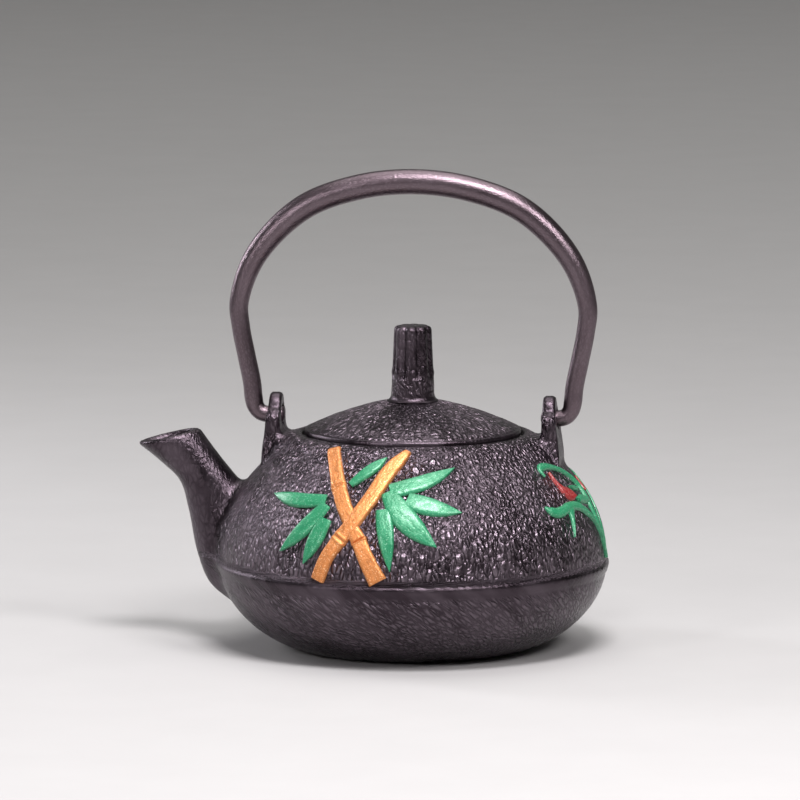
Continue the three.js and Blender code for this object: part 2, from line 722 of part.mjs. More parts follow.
function addBambooLeaves() {
  addRaised('bamboo_spray_left', spray([-23.6, 47.2], [
    { spine: [[-34.6, 46.4], [-48.3, 47]], width: 4.2 },
    { spine: [[-28.3, 39.2], [-35.7, 32.7]], width: 4.2 },
    { spine: [[-22.6, 37.1], [-26.3, 30]], width: 4 },
  ]), greenPaint);
  addRaised('bamboo_leaf_top', spray([-16.2, 52], [
    { spine: [[-10.7, 55.4], [-4.6, 58.6]], width: 3 },
  ]), greenPaint);
  addRaised('bamboo_spray_right', spray([-2, 49.8], [
    { spine: [[8.9, 52], [23.7, 55.7]], width: 4.5 },
    { spine: [[13, 46.3], [22.2, 44.9]], width: 6 },
    { spine: [[3.2, 44.2], [7.3, 40.8], [13, 36.3]], width: 7.4 },
    { spine: [[-1.4, 38], [-0.3, 29.5]], width: 4.3 },
  ]), greenPaint);
}

function addOrchidBlades() {
  const arc = [[64.5, 53], [73, 52], [79, 50], [83, 47], [84.6, 41], [85, 35], [88.4, 27.7]];
  const long = stroke(arc, bladeWidth(3), RELIEF_HEIGHT, 16);
  const knot = stroke([[75.8, 44], [84.4, 43]], leafWidth(3.6), RELIEF_HEIGHT, 5);
  addRaised('orchid_blade_long', long.add(knot), greenPaint);
  const back = stroke([[110, 53], [102, 47], [98, 38.6], [94.4, 30]], bladeWidth(3), RELIEF_HEIGHT);
  addRaised('orchid_blade_back', back, greenPaint);
  const wavy = [[55.7, 44.2], [60, 42.4], [64, 42], [68.7, 42.3], [73.3, 41.6], [77, 39.4], [80.6, 36.6]];
  const spike = stroke([[67.2, 42.4], [64.9, 38.3], [63.6, 35]], leafWidth(4), RELIEF_HEIGHT, 6);
  addRaised('orchid_leaf_wavy', stroke(wavy, leafWidth(4), RELIEF_HEIGHT, 12).add(spike), greenPaint);
}

function addOrchidFlowers() {
  const buds = {
    front: { spine: [[72.2, 45.4], [70.3, 47.5], [69.5, 49.6], [69.6, 51.2]], width: 4 },
    back: { spine: [[90.6, 44.4], [93.6, 46.4], [97.4, 48.4]], width: 2.8 },
  };
  Object.entries(buds).forEach(([place, { spine, width }]) => {
    addRaised(`orchid_bud_${place}`, stroke(spine, leafWidth(width), RELIEF_HEIGHT), redPaint);
  });
  addRaised('orchid_nub', stroke([[76, 47.4], [79.6, 46.4]], leafWidth(1.4), RELIEF_HEIGHT, 5), greenPaint);
}

addBody();
addEnamel();
addBail();
addInfuser();
addLid();
addKnob();
addWasher();
addBambooStalks();
addBambooLeaves();
addOrchidBlades();
addOrchidFlowers();

export default teapot;
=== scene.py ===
# %% [markdown]
# # A small cast-iron teapot
#
# The pot is one iron casting with its spout and two ears. A bail swings in the ears, a domed lid with a
# lobed knob sits in the mouth, and a steel basket for the leaves hangs under the lid. The engineering
# model is loaded first. It is the frame that every piece below is built in and moves with.

# %% Load the frame
import math

import bmesh
import bpy
import numpy as np
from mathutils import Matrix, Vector, noise


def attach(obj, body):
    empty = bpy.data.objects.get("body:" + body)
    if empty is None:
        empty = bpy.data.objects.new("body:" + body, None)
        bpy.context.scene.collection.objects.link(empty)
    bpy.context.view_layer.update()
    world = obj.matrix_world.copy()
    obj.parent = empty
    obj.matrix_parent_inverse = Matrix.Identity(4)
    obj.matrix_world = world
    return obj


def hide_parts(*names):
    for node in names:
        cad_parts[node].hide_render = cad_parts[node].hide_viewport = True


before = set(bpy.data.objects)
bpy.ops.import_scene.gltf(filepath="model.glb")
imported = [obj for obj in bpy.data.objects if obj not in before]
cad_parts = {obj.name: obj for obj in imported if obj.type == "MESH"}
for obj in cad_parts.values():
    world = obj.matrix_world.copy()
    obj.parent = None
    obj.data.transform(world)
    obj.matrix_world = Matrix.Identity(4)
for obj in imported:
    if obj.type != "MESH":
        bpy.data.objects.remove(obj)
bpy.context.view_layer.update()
MM = 0.001

# %% [markdown]
# ## Finishes
#
# Every finish is a Principled material. What several of them share is a node group: the crumpled skin
# that sand leaves on a casting, and the streaks and flecks of brushed paint. A group gives only heights
# and masks, so each material stays free to choose its own colours and gloss.

# %% Helpers for shader nodes
def add_node(tree, kind, place=(0, 0), **settings):
    node = tree.nodes.new(kind)
    node.location = place
    for name, value in settings.items():
        setattr(node, name, value)
    return node


def set_inputs(node, **values):
    for name, value in values.items():
        node.inputs[name.replace("_", " ")].default_value = value
    return node


def new_group(name, inputs, outputs):
    """A shader group with float or vector inputs, given as {name: default}."""
    tree = bpy.data.node_groups.new(name, "ShaderNodeTree")
    for label, default in inputs.items():
        kind = "NodeSocketVector" if isinstance(default, tuple) else "NodeSocketFloat"
        socket = tree.interface.new_socket(label, in_out="INPUT", socket_type=kind)
        socket.default_value = default
    for label in outputs:
        tree.interface.new_socket(label, in_out="OUTPUT", socket_type="NodeSocketFloat")
    return tree, add_node(tree, "NodeGroupInput", (-900, 0)), add_node(tree, "NodeGroupOutput", (900, 0))


def math_node(tree, operation, first, second=0.5, place=(0, 0)):
    """A maths node whose two operands are sockets or plain numbers."""
    node = add_node(tree, "ShaderNodeMath", place, operation=operation)
    for slot, value in zip(node.inputs, (first, second)):
        if isinstance(value, (int, float)):
            slot.default_value = value
        else:
            tree.links.new(value, slot)
    return node.outputs[0]


def scaled(tree, vector, factor, place=(0, 0)):
    node = add_node(tree, "ShaderNodeVectorMath", place, operation="SCALE")
    tree.links.new(vector, node.inputs[0])
    if isinstance(factor, (int, float)):
        node.inputs["Scale"].default_value = factor
    else:
        tree.links.new(factor, node.inputs["Scale"])
    return node.outputs[0]


def noise_node(tree, vector, scale, detail=2.0, roughness=0.5, distortion=0.0, place=(0, 0)):
    node = add_node(tree, "ShaderNodeTexNoise", place)
    set_inputs(node, Scale=scale, Detail=detail, Roughness=roughness, Distortion=distortion)
    tree.links.new(vector, node.inputs["Vector"])
    return node.outputs["Fac"]


def ranged(tree, value, low, high, to_low=0.0, to_high=1.0, place=(0, 0)):
    node = add_node(tree, "ShaderNodeMapRange", place, interpolation_type="SMOOTHSTEP")
    set_inputs(node, From_Min=low, From_Max=high, To_Min=to_low, To_Max=to_high)
    tree.links.new(value, node.inputs["Value"])
    return node.outputs["Result"]


# %% [markdown]
# ### Crumpled casting skin
#
# Fine sand pressed round the pattern leaves worm-like lumps about a millimetre wide, with narrow valleys
# between them. Bent cells, raised away from their borders, make such lumps. The pieces carry their own
# stretched coordinates, in millimetres, so the lumps run down the wall and outwards over the lid.

# %% Group: crumpled skin
crumple, crumple_in, crumple_out = new_group(
    "Crumpled skin",
    {"Vector": (0.0, 0.0, 0.0), "Wrinkle Width": 1.0, "Amount": 1.0, "Grain": 0.2},
    ["Height", "Lit Crest", "Blotch"],
)
mm_vector = crumple_in.outputs["Vector"]
inverse = math_node(crumple, "DIVIDE", 1.0, crumple_in.outputs["Wrinkle Width"], (-700, 0))
wrinkle_vector = scaled(crumple, mm_vector, inverse, (-520, 100))
warp = add_node(crumple, "ShaderNodeTexNoise", (-520, 400))
set_inputs(warp, Scale=0.42, Detail=1.5, Roughness=0.5)
crumple.links.new(wrinkle_vector, warp.inputs["Vector"])
warp_vector = scaled(crumple, warp.outputs["Color"], 2.2, (-340, 400))
bent_vector = add_node(crumple, "ShaderNodeVectorMath", (-160, 360), operation="ADD")
crumple.links.new(wrinkle_vector, bent_vector.inputs[0])
crumple.links.new(warp_vector, bent_vector.inputs[1])
cells = add_node(crumple, "ShaderNodeTexVoronoi", (0, 360), feature="DISTANCE_TO_EDGE")
set_inputs(cells, Scale=0.62, Randomness=1.0)
crumple.links.new(bent_vector.outputs[0], cells.inputs["Vector"])
ridge = ranged(crumple, cells.outputs["Distance"], 0.0, 0.34, 0.0, 1.0, (180, 320))
lumps = noise_node(crumple, wrinkle_vector, 0.75, 2.0, 0.5, 0.4, (-340, 20))
sand = noise_node(crumple, mm_vector, 5.0, 2.0, 0.6, 0.0, (-340, -220))
blotch = noise_node(crumple, mm_vector, 0.09, 2.0, 0.6, 0.4, (-340, -420))
ridges = math_node(crumple, "MULTIPLY", ridge, 0.6, (340, 260))
ridges = math_node(crumple, "ADD", ridges, lumps, (480, 200))
ridges = math_node(crumple, "MULTIPLY", ridges, crumple_in.outputs["Amount"], (620, 160))
grains = math_node(crumple, "MULTIPLY", sand, crumple_in.outputs["Grain"], (340, -200))
height = math_node(crumple, "ADD", ridges, grains, (760, 60))
crumple.links.new(height, crumple_out.inputs["Height"])
# Lit Crest is the mask for a painted highlight on the lumps. Where it is low, it leaves painted shade
# between them.
lit_crest = math_node(crumple, "MULTIPLY", ridge, crumple_in.outputs["Amount"], (620, 320))
crumple.links.new(lit_crest, crumple_out.inputs["Lit Crest"])
crumple.links.new(blotch, crumple_out.inputs["Blotch"])
print("group:", crumple.name, len(crumple.nodes), "nodes")

# %% [markdown]
# ### Flecked paint
#
# The raised leaves and stalks are touched in by hand with metallic paint. Flecks catch the light, the
# brush leaves streaks along each stroke, and the paint is thin where it turns over an edge.

# %% Group: brushed paint
brushed, brushed_in, brushed_out = new_group(
    "Brushed paint",
    {"Along": 0.0, "Across": 0.0, "Vector": (0.0, 0.0, 0.0), "Wear": 0.5},
    ["Fleck", "Streak", "Bare", "Height"],
)
streak_vector = add_node(brushed, "ShaderNodeCombineXYZ", (-700, 200))
brushed.links.new(math_node(brushed, "MULTIPLY", brushed_in.outputs["Along"], 0.25, (-860, 300)),
                  streak_vector.inputs["X"])
brushed.links.new(math_node(brushed, "MULTIPLY", brushed_in.outputs["Across"], 3.0, (-860, 140)),
                  streak_vector.inputs["Y"])
streak = noise_node(brushed, streak_vector.outputs[0], 1.0, 2.0, 0.55, 0.2, (-500, 200))
fleck = noise_node(brushed, brushed_in.outputs["Vector"], 3.4, 1.5, 0.6, 0.0, (-500, -40))
fleck = ranged(brushed, fleck, 0.6, 0.72, 0.0, 1.0, (-300, -40))
patch = noise_node(brushed, brushed_in.outputs["Vector"], 1.1, 3.0, 0.65, 0.3, (-500, -280))
edge = math_node(brushed, "ABSOLUTE", brushed_in.outputs["Across"], 0.0, (-500, -480))
edge = math_node(brushed, "MULTIPLY", edge, 0.42, (-340, -480))
bare = math_node(brushed, "ADD", edge, patch, (-180, -400))
bare = math_node(brushed, "MULTIPLY", bare, brushed_in.outputs["Wear"], (0, -400))
bare = ranged(brushed, bare, 0.5, 0.62, 0.0, 1.0, (160, -400))
bumps = math_node(brushed, "MULTIPLY", streak, 0.6, (-200, 160))
bumps = math_node(brushed, "ADD", bumps, patch, (0, 120))
brushed.links.new(fleck, brushed_out.inputs["Fleck"])
brushed.links.new(streak, brushed_out.inputs["Streak"])
brushed.links.new(bare, brushed_out.inputs["Bare"])
brushed.links.new(bumps, brushed_out.inputs["Height"])
print("group:", brushed.name, len(brushed.nodes), "nodes")

# %% [markdown]
# ### The materials themselves
#
# Blackened iron is a dark metal. Its crests are painted lighter and its hollows darker, a painted highlight
# and painted shade, and a slow blotch keeps the gloss from being even. The bump heights are real heights,
# in metres.

# %% Material helpers
def new_material(name):
    material = bpy.data.materials.new(name)
    material.use_nodes = True
    tree = material.node_tree
    return material, tree, tree.nodes["Principled BSDF"]


def attribute(tree, name, output, place=(-1100, 0)):
    return add_node(tree, "ShaderNodeAttribute", place, attribute_name=name).outputs[output]


def group_node(tree, group, place=(-700, 0), **values):
    node = add_node(tree, "ShaderNodeGroup", place, node_tree=group)
    return set_inputs(node, **values)


def mixed(tree, factor, first, second, place=(-300, 0)):
    """A colour between two colours or colour sockets."""
    node = add_node(tree, "ShaderNodeMix", place, data_type="RGBA")
    tree.links.new(factor, node.inputs[0])
    for slot, value in ((node.inputs[6], first), (node.inputs[7], second)):
        if isinstance(value, tuple):
            slot.default_value = (*value, 1.0)
        else:
            tree.links.new(value, slot)
    return node.outputs[2]


def bump(tree, shader, height, distance, strength=1.0, place=(-250, -400)):
    node = add_node(tree, "ShaderNodeBump", place)
    set_inputs(node, Distance=distance, Strength=strength)
    tree.links.new(height, node.inputs["Height"])
    tree.links.new(node.outputs["Normal"], shader.inputs["Normal"])


def iron(name, hollow, lit_crest, rough, metallic, width, grain, depth):
    """Blackened cast iron. rough is the roughness (where the slow blotch is low, where it is high)."""
    material, tree, shader = new_material(name)
    skin = group_node(tree, crumple, Wrinkle_Width=width, Grain=grain)
    tree.links.new(attribute(tree, "skin", "Vector"), skin.inputs["Vector"])
    tree.links.new(attribute(tree, "crumple", "Fac", (-1100, -200)), skin.inputs["Amount"])
    # Painted highlight and painted shade: the hollow colour darkens the valleys, and the crest colour
    # lights the lumps.
    shade = mixed(tree, skin.outputs["Lit Crest"], hollow, lit_crest, (-420, 200))
    worn = ranged(tree, skin.outputs["Blotch"], 0.35, 0.7, 0.0, 0.35, (-520, 420))
    shade = mixed(tree, worn, shade, lit_crest, (-220, 260))
    tree.links.new(shade, shader.inputs["Base Color"])
    gloss = ranged(tree, skin.outputs["Blotch"], 0.3, 0.7, rough[0], rough[1], (-420, -60))
    tree.links.new(gloss, shader.inputs["Roughness"])
    shader.inputs["Metallic"].default_value = metallic
    bump(tree, shader, skin.outputs["Height"], depth)
    return material


# %% Iron, enamel and steel
# The first colour is painted shade in the hollows, and the second is a painted highlight on the crests.
cast_iron = iron("Cast iron", (0.040, 0.030, 0.037), (0.185, 0.150, 0.177), (0.24, 0.38), 1.0,
                 width=0.9, grain=0.10, depth=0.00060)
bar_iron = iron("Bail iron", (0.130, 0.098, 0.112), (0.200, 0.158, 0.180), (0.28, 0.38), 1.0,
                width=0.5, grain=0.6, depth=0.00008)


def plain_finish(name, colour, roughness, metallic, scale, variation, depth, coat=0.0):
    """A smooth finish with a fine unevenness in its colour, gloss and surface."""
    material, tree, shader = new_material(name)
    place = add_node(tree, "ShaderNodeTexCoord", (-1100, 0)).outputs["Object"]
    fine = noise_node(tree, place, scale, 3.0, 0.6, 0.1, (-800, 0))
    broad = noise_node(tree, place, scale * 0.08, 2.0, 0.5, 0.3, (-800, -250))
    darker = tuple(c * (1 - variation) for c in colour)
    tree.links.new(mixed(tree, broad, darker, colour), shader.inputs["Base Color"])
    gloss = ranged(tree, fine, 0.25, 0.75, roughness * 0.8, roughness * 1.25, (-500, -120))
    tree.links.new(gloss, shader.inputs["Roughness"])
    shader.inputs["Metallic"].default_value = metallic
    shader.inputs["Coat Weight"].default_value = coat
    shader.inputs["Coat Roughness"].default_value = 0.12
    bump(tree, shader, fine, depth)
    return material


enamel = plain_finish("Black enamel", (0.016, 0.016, 0.019), 0.24, 0.0, 900, 0.4, 0.00006, coat=0.6)
steel = plain_finish("Stainless steel", (0.60, 0.59, 0.57), 0.26, 1.0, 1500, 0.15, 0.00002)


# %% Paints
BARE_IRON = (0.07, 0.06, 0.06)


def paint(name, dark, light, fleck_colour, rough, metallic, wear, depth, coat=0.0):
    """Metallic craft paint, brushed over the raised pattern, with the iron showing where it has worn."""
    material, tree, shader = new_material(name)
    brush = group_node(tree, brushed, Wear=wear)
    tree.links.new(attribute(tree, "skin", "Vector"), brush.inputs["Vector"])
    tree.links.new(attribute(tree, "along", "Fac", (-1100, -200)), brush.inputs["Along"])
    tree.links.new(attribute(tree, "across", "Fac", (-1100, -400)), brush.inputs["Across"])
    colour = mixed(tree, brush.outputs["Streak"], dark, light, (-480, 200))
    colour = mixed(tree, brush.outputs["Fleck"], colour, fleck_colour, (-300, 200))
    colour = mixed(tree, brush.outputs["Bare"], colour, BARE_IRON, (-120, 200))
    tree.links.new(colour, shader.inputs["Base Color"])
    gloss = ranged(tree, brush.outputs["Streak"], 0.2, 0.8, rough[0], rough[1], (-300, -60))
    tree.links.new(gloss, shader.inputs["Roughness"])
    shader.inputs["Metallic"].default_value = metallic
    shader.inputs["Coat Weight"].default_value = coat
    shader.inputs["Coat Roughness"].default_value = 0.2
    bump(tree, shader, brush.outputs["Height"], depth)
    return material


copper_paint = paint("Copper paint", (0.44, 0.145, 0.040), (0.80, 0.31, 0.095), (1.0, 0.72, 0.42),
                     (0.30, 0.48), 0.55, 0.52, 0.00022)
green_paint = paint("Green paint", (0.008, 0.16, 0.065), (0.03, 0.30, 0.14), (0.30, 0.62, 0.42),
                    (0.28, 0.42), 0.15, 0.5, 0.00015, coat=0.3)
red_paint = paint("Red paint", (0.16, 0.008, 0.010), (0.36, 0.022, 0.022), (0.75, 0.30, 0.26),
                  (0.26, 0.42), 0.15, 0.55, 0.00030, coat=0.35)
finishes = (cast_iron, bar_iron, enamel, steel, copper_paint, green_paint, red_paint)
print("materials:", [finish.name for finish in finishes])

# %% [markdown]
# ## Building pieces
#
# Shapes are worked out in millimetres and turned to metres when the mesh is made. Each piece sits at the
# origin with its place in its mesh, rides on its own body, and takes over from its engineering solid.

# %% Helpers for meshes
def new_piece(name, points, faces, body, material, replaces=(), attributes=None, sharp=None):
    """A smooth-shaded mesh from points in millimetres. sharp is an angle above which edges stay crisp."""
    mesh = bpy.data.meshes.new(name)
    mesh.from_pydata((np.asarray(points) * MM).tolist(), [], [list(map(int, face)) for face in faces])
    mesh.update()
    mesh.shade_smooth()
    if sharp is not None:
        mesh.set_sharp_from_angle(angle=math.radians(sharp))
    for label, values in (attributes or {}).items():
        values = np.asarray(values, dtype=np.float32)
        kind = "FLOAT_VECTOR" if values.ndim == 2 else "FLOAT"
        layer = mesh.attributes.new(label, kind, "POINT")
        layer.data.foreach_set("vector" if values.ndim == 2 else "value", values.ravel())
    mesh.materials.append(material)
    piece = bpy.data.objects.new(name, mesh)
    bpy.context.scene.collection.objects.link(piece)
    return settle(piece, body, replaces)


def settle(piece, body, replaces):
    """Hands a finished piece over to its body and its engineering solids."""
    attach(piece, body)
    if replaces:
        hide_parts(*replaces)
    print(f"{piece.name}: {len(piece.data.polygons)} faces on {body}")
    return piece


def grid_faces(rows, columns, closed_rows=False):
    """Quads over a rows x columns grid whose columns run round and close, counter-clockwise from above."""
    count = rows if closed_rows else rows - 1
    i, j = np.meshgrid(np.arange(count), np.arange(columns), indexing="ij")
    k = (i + 1) % rows
    n = (j + 1) % columns
    quads = np.stack([i * columns + j, i * columns + n, k * columns + n, k * columns + j], axis=-1)
    return quads.reshape(-1, 4)


def tube_faces(rings, columns):
    """Quads along a tube of rings, and a fan over each end round one of two further points."""
    last, tip = (rings - 1) * columns, rings * columns
    start = [[(j + 1) % columns, j, tip] for j in range(columns)]
    finish = [[last + j, last + (j + 1) % columns, tip + 1] for j in range(columns)]
    return grid_faces(rings, columns).tolist() + start + finish


def facing_out(points, faces):
    """The faces of a closed skin, all turned round if they face inwards."""
    triangles = [f[:3] for f in faces] + [[f[0], f[2], f[3]] for f in faces if len(f) == 4]
    a, b, c = (points[corner] - points.mean(axis=0) for corner in np.array(triangles).T)
    inward = np.einsum("ij,ij->i", a, np.cross(b, c)).sum() < 0
    return [face[::-1] for face in faces] if inward else faces


def bezier(points, steps):
    """Points along a cubic curve given by its four control points."""
    t = np.linspace(0, 1, steps + 1)[:, None]
    a, b, c, d = np.asarray(points, dtype=float)
    return a * (1 - t) ** 3 + 3 * b * t * (1 - t) ** 2 + 3 * c * t ** 2 * (1 - t) + d * t ** 3


def through(points, per_span=12):
    """A smooth line through points: the centripetal curve that the engineering model uses."""
    p = np.asarray(points, dtype=float)
    p = np.vstack([2 * p[0] - p[1], p, 2 * p[-1] - p[-2]])
    out = []
    for p0, p1, p2, p3 in zip(p[:-3], p[1:-2], p[2:-1], p[3:]):
        d0, d1, d2 = (max(np.linalg.norm(b - a) ** 0.5, 1e-4) for a, b in ((p0, p1), (p1, p2), (p2, p3)))
        m1 = ((p1 - p0) / d0 - (p2 - p0) / (d0 + d1) + (p2 - p1) / d1) * d1
        m2 = ((p2 - p1) / d1 - (p3 - p1) / (d1 + d2) + (p3 - p2) / d2) * d1
        t = np.linspace(0, 1, per_span, endpoint=False)[:, None]
        out.append((2 * t**3 - 3 * t**2 + 1) * p1 + (t**3 - 2 * t**2 + t) * m1
                   + (3 * t**2 - 2 * t**3) * p2 + (t**3 - t**2) * m2)
    return np.vstack([*out, p[-2][None]])


def resampled(line, count):
    """The same line with points at equal distances."""
    line = np.asarray(line, dtype=float)
    run = np.concatenate([[0], np.cumsum(np.linalg.norm(np.diff(line, axis=0), axis=1))])
    at = np.linspace(0, run[-1], count)
    return np.stack([np.interp(at, run, line[:, k]) for k in range(line.shape[1])], axis=1)


def smoothstep(value, low, high):
    t = np.clip((value - low) / (high - low), 0, 1)
    return t * t * (3 - 2 * t)


def crinkle(points, size):
    """Smooth noise from -1 to 1 over an array of points, with lumps of about the given size."""
    return np.array([noise.noise(Vector(p)) for p in (np.asarray(points) / size).tolist()])


# %% [markdown]
# ## The casting
#
# Bowl, belt and shoulder are turned shapes, but the spout and the ears grow out of them through soft
# fillets, which separate meshes can't give. So the casting is described as distances: each form says how
# far any point is from its surface, a soft minimum melts the forms together, and a fine net is drawn
# where the distance is zero. Hollows are melted out in the same way.

# %% Outlines of the casting, in (radius, height)
BODY_HEIGHT = 61.2
PIVOT_HEIGHT = 65.6
WALL = 3.2
BORE_RADIUS, LEDGE_RADIUS, LEDGE_HEIGHT = 27.6, 31.4, 58.9


def bowl_line(inset, steps=24):
    return bezier([(33 - 0.25 * inset, inset), (43 - 0.4 * inset, 2.5 + inset),
                   (53.4 - inset, 11 + 0.5 * inset), (55 - inset, 21.6)], steps)


def shoulder_line(inset, steps=36):
    slope = inset * math.sqrt(0.5)
    return bezier([(55.2 - inset, 24.8), (54.7 - inset, 41 - 0.3 * inset),
                   (48.8 - slope, 46 - slope), (36 - slope, 59.4 - slope)], steps)


rim_line = bezier([(36, 59.4), (35, 60.4), (33.6, 61), (32.2, 61.2)], 8)
skin_line = np.vstack([shoulder_line(0), rim_line[1:]])
outer_outline = np.vstack([[(0, 0)], bowl_line(0), [(55.4, 21.9), (56, 24.4)], skin_line,
                           [(0, BODY_HEIGHT)]])
hollow_top = shoulder_line(WALL)[-1]
hollow_outline = np.vstack([[(0, WALL)], bowl_line(WALL), shoulder_line(WALL),
                            [(BORE_RADIUS, hollow_top[1]), (BORE_RADIUS, LEDGE_HEIGHT),
                             (LEDGE_RADIUS, LEDGE_HEIGHT), (LEDGE_RADIUS, 75), (0, 75)]])


# %% Distance to an outline
def sampled(field, low, step):
    """Reads a 2-D table of values at any points, between its entries."""
    def read(u, v):
        a = np.clip((u - low[0]) / step, 0, field.shape[0] - 1.001)
        b = np.clip((v - low[1]) / step, 0, field.shape[1] - 1.001)
        i, j = a.astype(int), b.astype(int)
        a, b = a - i, b - j
        return ((1 - a) * ((1 - b) * field[i, j] + b * field[i, j + 1])
                + a * ((1 - b) * field[i + 1, j] + b * field[i + 1, j + 1]))
    return read


def softened(field, sigma):
    """A table blurred by sigma entries, which rounds the corners of the outline it describes."""
    reach = int(3 * sigma) + 1
    kernel = np.exp(-0.5 * (np.arange(-reach, reach + 1) / sigma) ** 2)
    kernel /= kernel.sum()
    for axis in (0, 1):
        padded = np.pad(field, [(reach, reach) if k == axis else (0, 0) for k in (0, 1)], mode="edge")
        field = np.apply_along_axis(lambda row: np.convolve(row, kernel, mode="valid"), axis, padded)
    return field


def turned_distance(outline, rounding, step=0.25):
    """Distance from (radius, height) to the solid that the outline makes when turned about the axis."""
    ring = np.vstack([outline, outline[::-1] * (-1, 1)])
    u, v = np.meshgrid(np.arange(0, 66, step), np.arange(-4, 78, step), indexing="ij")
    nearest = np.full(u.shape, 1e9)
    inside = np.zeros(u.shape, bool)
    for (ax, ay), (bx, by) in zip(ring, np.roll(ring, -1, axis=0)):
        dx, dy = bx - ax, by - ay
        length = dx * dx + dy * dy
        if length < 1e-12:
            continue
        t = np.clip(((u - ax) * dx + (v - ay) * dy) / length, 0, 1)
        nearest = np.minimum(nearest, (u - ax - t * dx) ** 2 + (v - ay - t * dy) ** 2)
        if ay != by:
            crosses = (ay > v) != (by > v)
            inside ^= crosses & (u < ax + (v - ay) * dx / dy)
    field = np.where(inside, -1, 1) * np.sqrt(nearest)
    return sampled(softened(field, rounding / step), (0, -4), step)


outside = turned_distance(outer_outline, 0.22)
hollow = turned_distance(hollow_outline, 0.3)
print("outside at the belt:", float(outside(np.array([56.0]), np.array([24.0]))[0]))


# %% [markdown]
# ### Spout
#
# The spout swells out of the belly and narrows to a slanted mouth. Two lines are drawn, along its
# underside and along its top. Between each pair of points lies one oval section, square to neither line,
# just as a patternmaker's templates stand.

# %% Distance to the spout
UNDER = through([(44, 10), (52, 12), (58.3, 16.9), (62, 26), (64.3, 37.6), (66.9, 46.2), (72.6, 51.8),
                 (79.2, 57)], 20)
OVER = through([(41, 38.5), (42.2, 42.4), (43.8, 43.8), (46.6, 44.5), (49.6, 46.5), (53.2, 50.5),
                (57.2, 55.6), (61.4, 61.3)], 20)
SPOUT_WALL = 2.4
SPOUT_NEAR, SPOUT_FROM = -31, -34          # measured left of the first, joined left of the second
spout_middle = 0.5 * (UNDER + OVER) * (-1, 1)
spout_half = 0.5 * (OVER - UNDER) * (-1, 1)
spout_share = np.linspace(0, 1, len(UNDER))
ROOT_HALF_WIDTH, NECK_HALF_WIDTH = 10.5, 7.0
spout_width = ROOT_HALF_WIDTH + (NECK_HALF_WIDTH - ROOT_HALF_WIDTH) * smoothstep(spout_share, 0.1, 0.65)
spout_width *= 1 + 0.1 * smoothstep(spout_share, 0.75, 1)


def spout_tables(step=0.4):
    """For points of the plane Y = 0: the offset in the section there, the section's two half sizes, and how
    far the point is past the mouth and behind the root."""
    low = (-88.0, -2.0)
    u, v = np.meshgrid(np.arange(low[0], -30, step), np.arange(low[1], 80, step), indexing="ij")
    here = np.stack([u.ravel(), v.ravel()], axis=1)
    half = np.linalg.norm(spout_half, axis=1)
    up = spout_half / half[:, None]
    ahead = np.stack([-up[:, 1], up[:, 0]], axis=1)
    offset = here[:, None, :] - spout_middle[None]
    along = np.einsum("nkc,kc->nk", offset, ahead)
    across = np.einsum("nkc,kc->nk", offset, up)
    cost = np.abs(along) + 0.6 * np.maximum(np.abs(across) - half, 0)
    k = np.argmin(cost, axis=1)
    rows = np.arange(len(here))
    k2 = np.clip(k + np.where(along[rows, k] > 0, 1, -1), 0, len(half) - 1)
    gap = along[rows, k] - along[rows, k2]
    t = np.where(np.abs(gap) > 1e-6, np.clip(along[rows, k] / np.where(gap == 0, 1, gap), 0, 1), 0)
    values = [(1 - t) * first + t * second for first, second in (
        (across[rows, k], across[rows, k2]), (half[k], half[k2]), (spout_width[k], spout_width[k2]))]
    values += [along[:, -1], -along[:, 0]]
    return [sampled(value.reshape(u.shape), low, step) for value in values]


read_offset, read_half, read_width, read_mouth, read_back = spout_tables()


def oval_distance(x, y, z, inset):
    a, b = read_offset(x, z), y
    h, w = read_half(x, z) - inset, read_width(x, z) - inset
    q = np.sqrt((a / h) ** 2 + (b / w) ** 2)
    slope = np.sqrt((a / h**2) ** 2 + (b / w**2) ** 2) / np.maximum(q, 1e-6)
    return np.where(q < 0.05, -np.minimum(h, w), (q - 1) / np.maximum(slope, 1e-6))


def melt(a, b, reach):
    """Union of two distances with a fillet of about the given reach."""
    h = np.maximum(reach - np.abs(a - b), 0) / reach
    return np.minimum(a, b) - h * h * reach * 0.25


def melt_out(a, b, reach):
    """The first form with the second one taken away, and the edge between them rounded."""
    return -melt(-a, b, reach)


def spout_distance(x, y, z):
    shell = melt_out(oval_distance(x, y, z, 0), -read_mouth(x, z), 1.2)
    return np.maximum(shell, read_back(x, z))


def channel_distance(x, y, z):
    return np.maximum(oval_distance(x, y, z, SPOUT_WALL), read_back(x, z))


# %% [markdown]
# ### Ears
#
# Each ear is a flat plate with three round lobes, thicker at its foot, and a hole for the bail's end. It
# is drawn as overlapping circles over a tapered foot.

# %% Distance to the ears
EAR_INNER, EAR_THICKNESS, EAR_EDGE, EAR_HOLE = 37.3, 3.5, 0.8, 2.7
CROWN_RADIUS, SIDE_RADIUS = 4.4, 3.5


def ear_distance(x, y, z):
    across = np.abs(y)
    crown = np.hypot(across, z - PIVOT_HEIGHT - 2.0) - CROWN_RADIUS
    side = np.hypot(across - 4.1, z - PIVOT_HEIGHT + 1.2) - SIDE_RADIUS
    foot_half = 6.9 + 1.7 * smoothstep(-z, -62, -50)
    foot = np.maximum(np.maximum(across - foot_half, z - PIVOT_HEIGHT + 1.5), 46 - z)
    face = melt(melt(crown, side, 0.7), foot, 0.9)
    outer = EAR_INNER + EAR_THICKNESS + 0.6 * smoothstep(-z, -71, -64) + 1.1 * smoothstep(-z, -66, -54)
    depth = np.maximum(EAR_INNER - x, x - outer)
    beyond = np.hypot(np.maximum(face + EAR_EDGE, 0), np.maximum(depth + EAR_EDGE, 0))
    plate = beyond + np.minimum(np.maximum(face, depth) + EAR_EDGE, 0) - EAR_EDGE
    hole = np.hypot(y, z - PIVOT_HEIGHT) - EAR_HOLE
    return melt_out(plate, hole, 0.6)


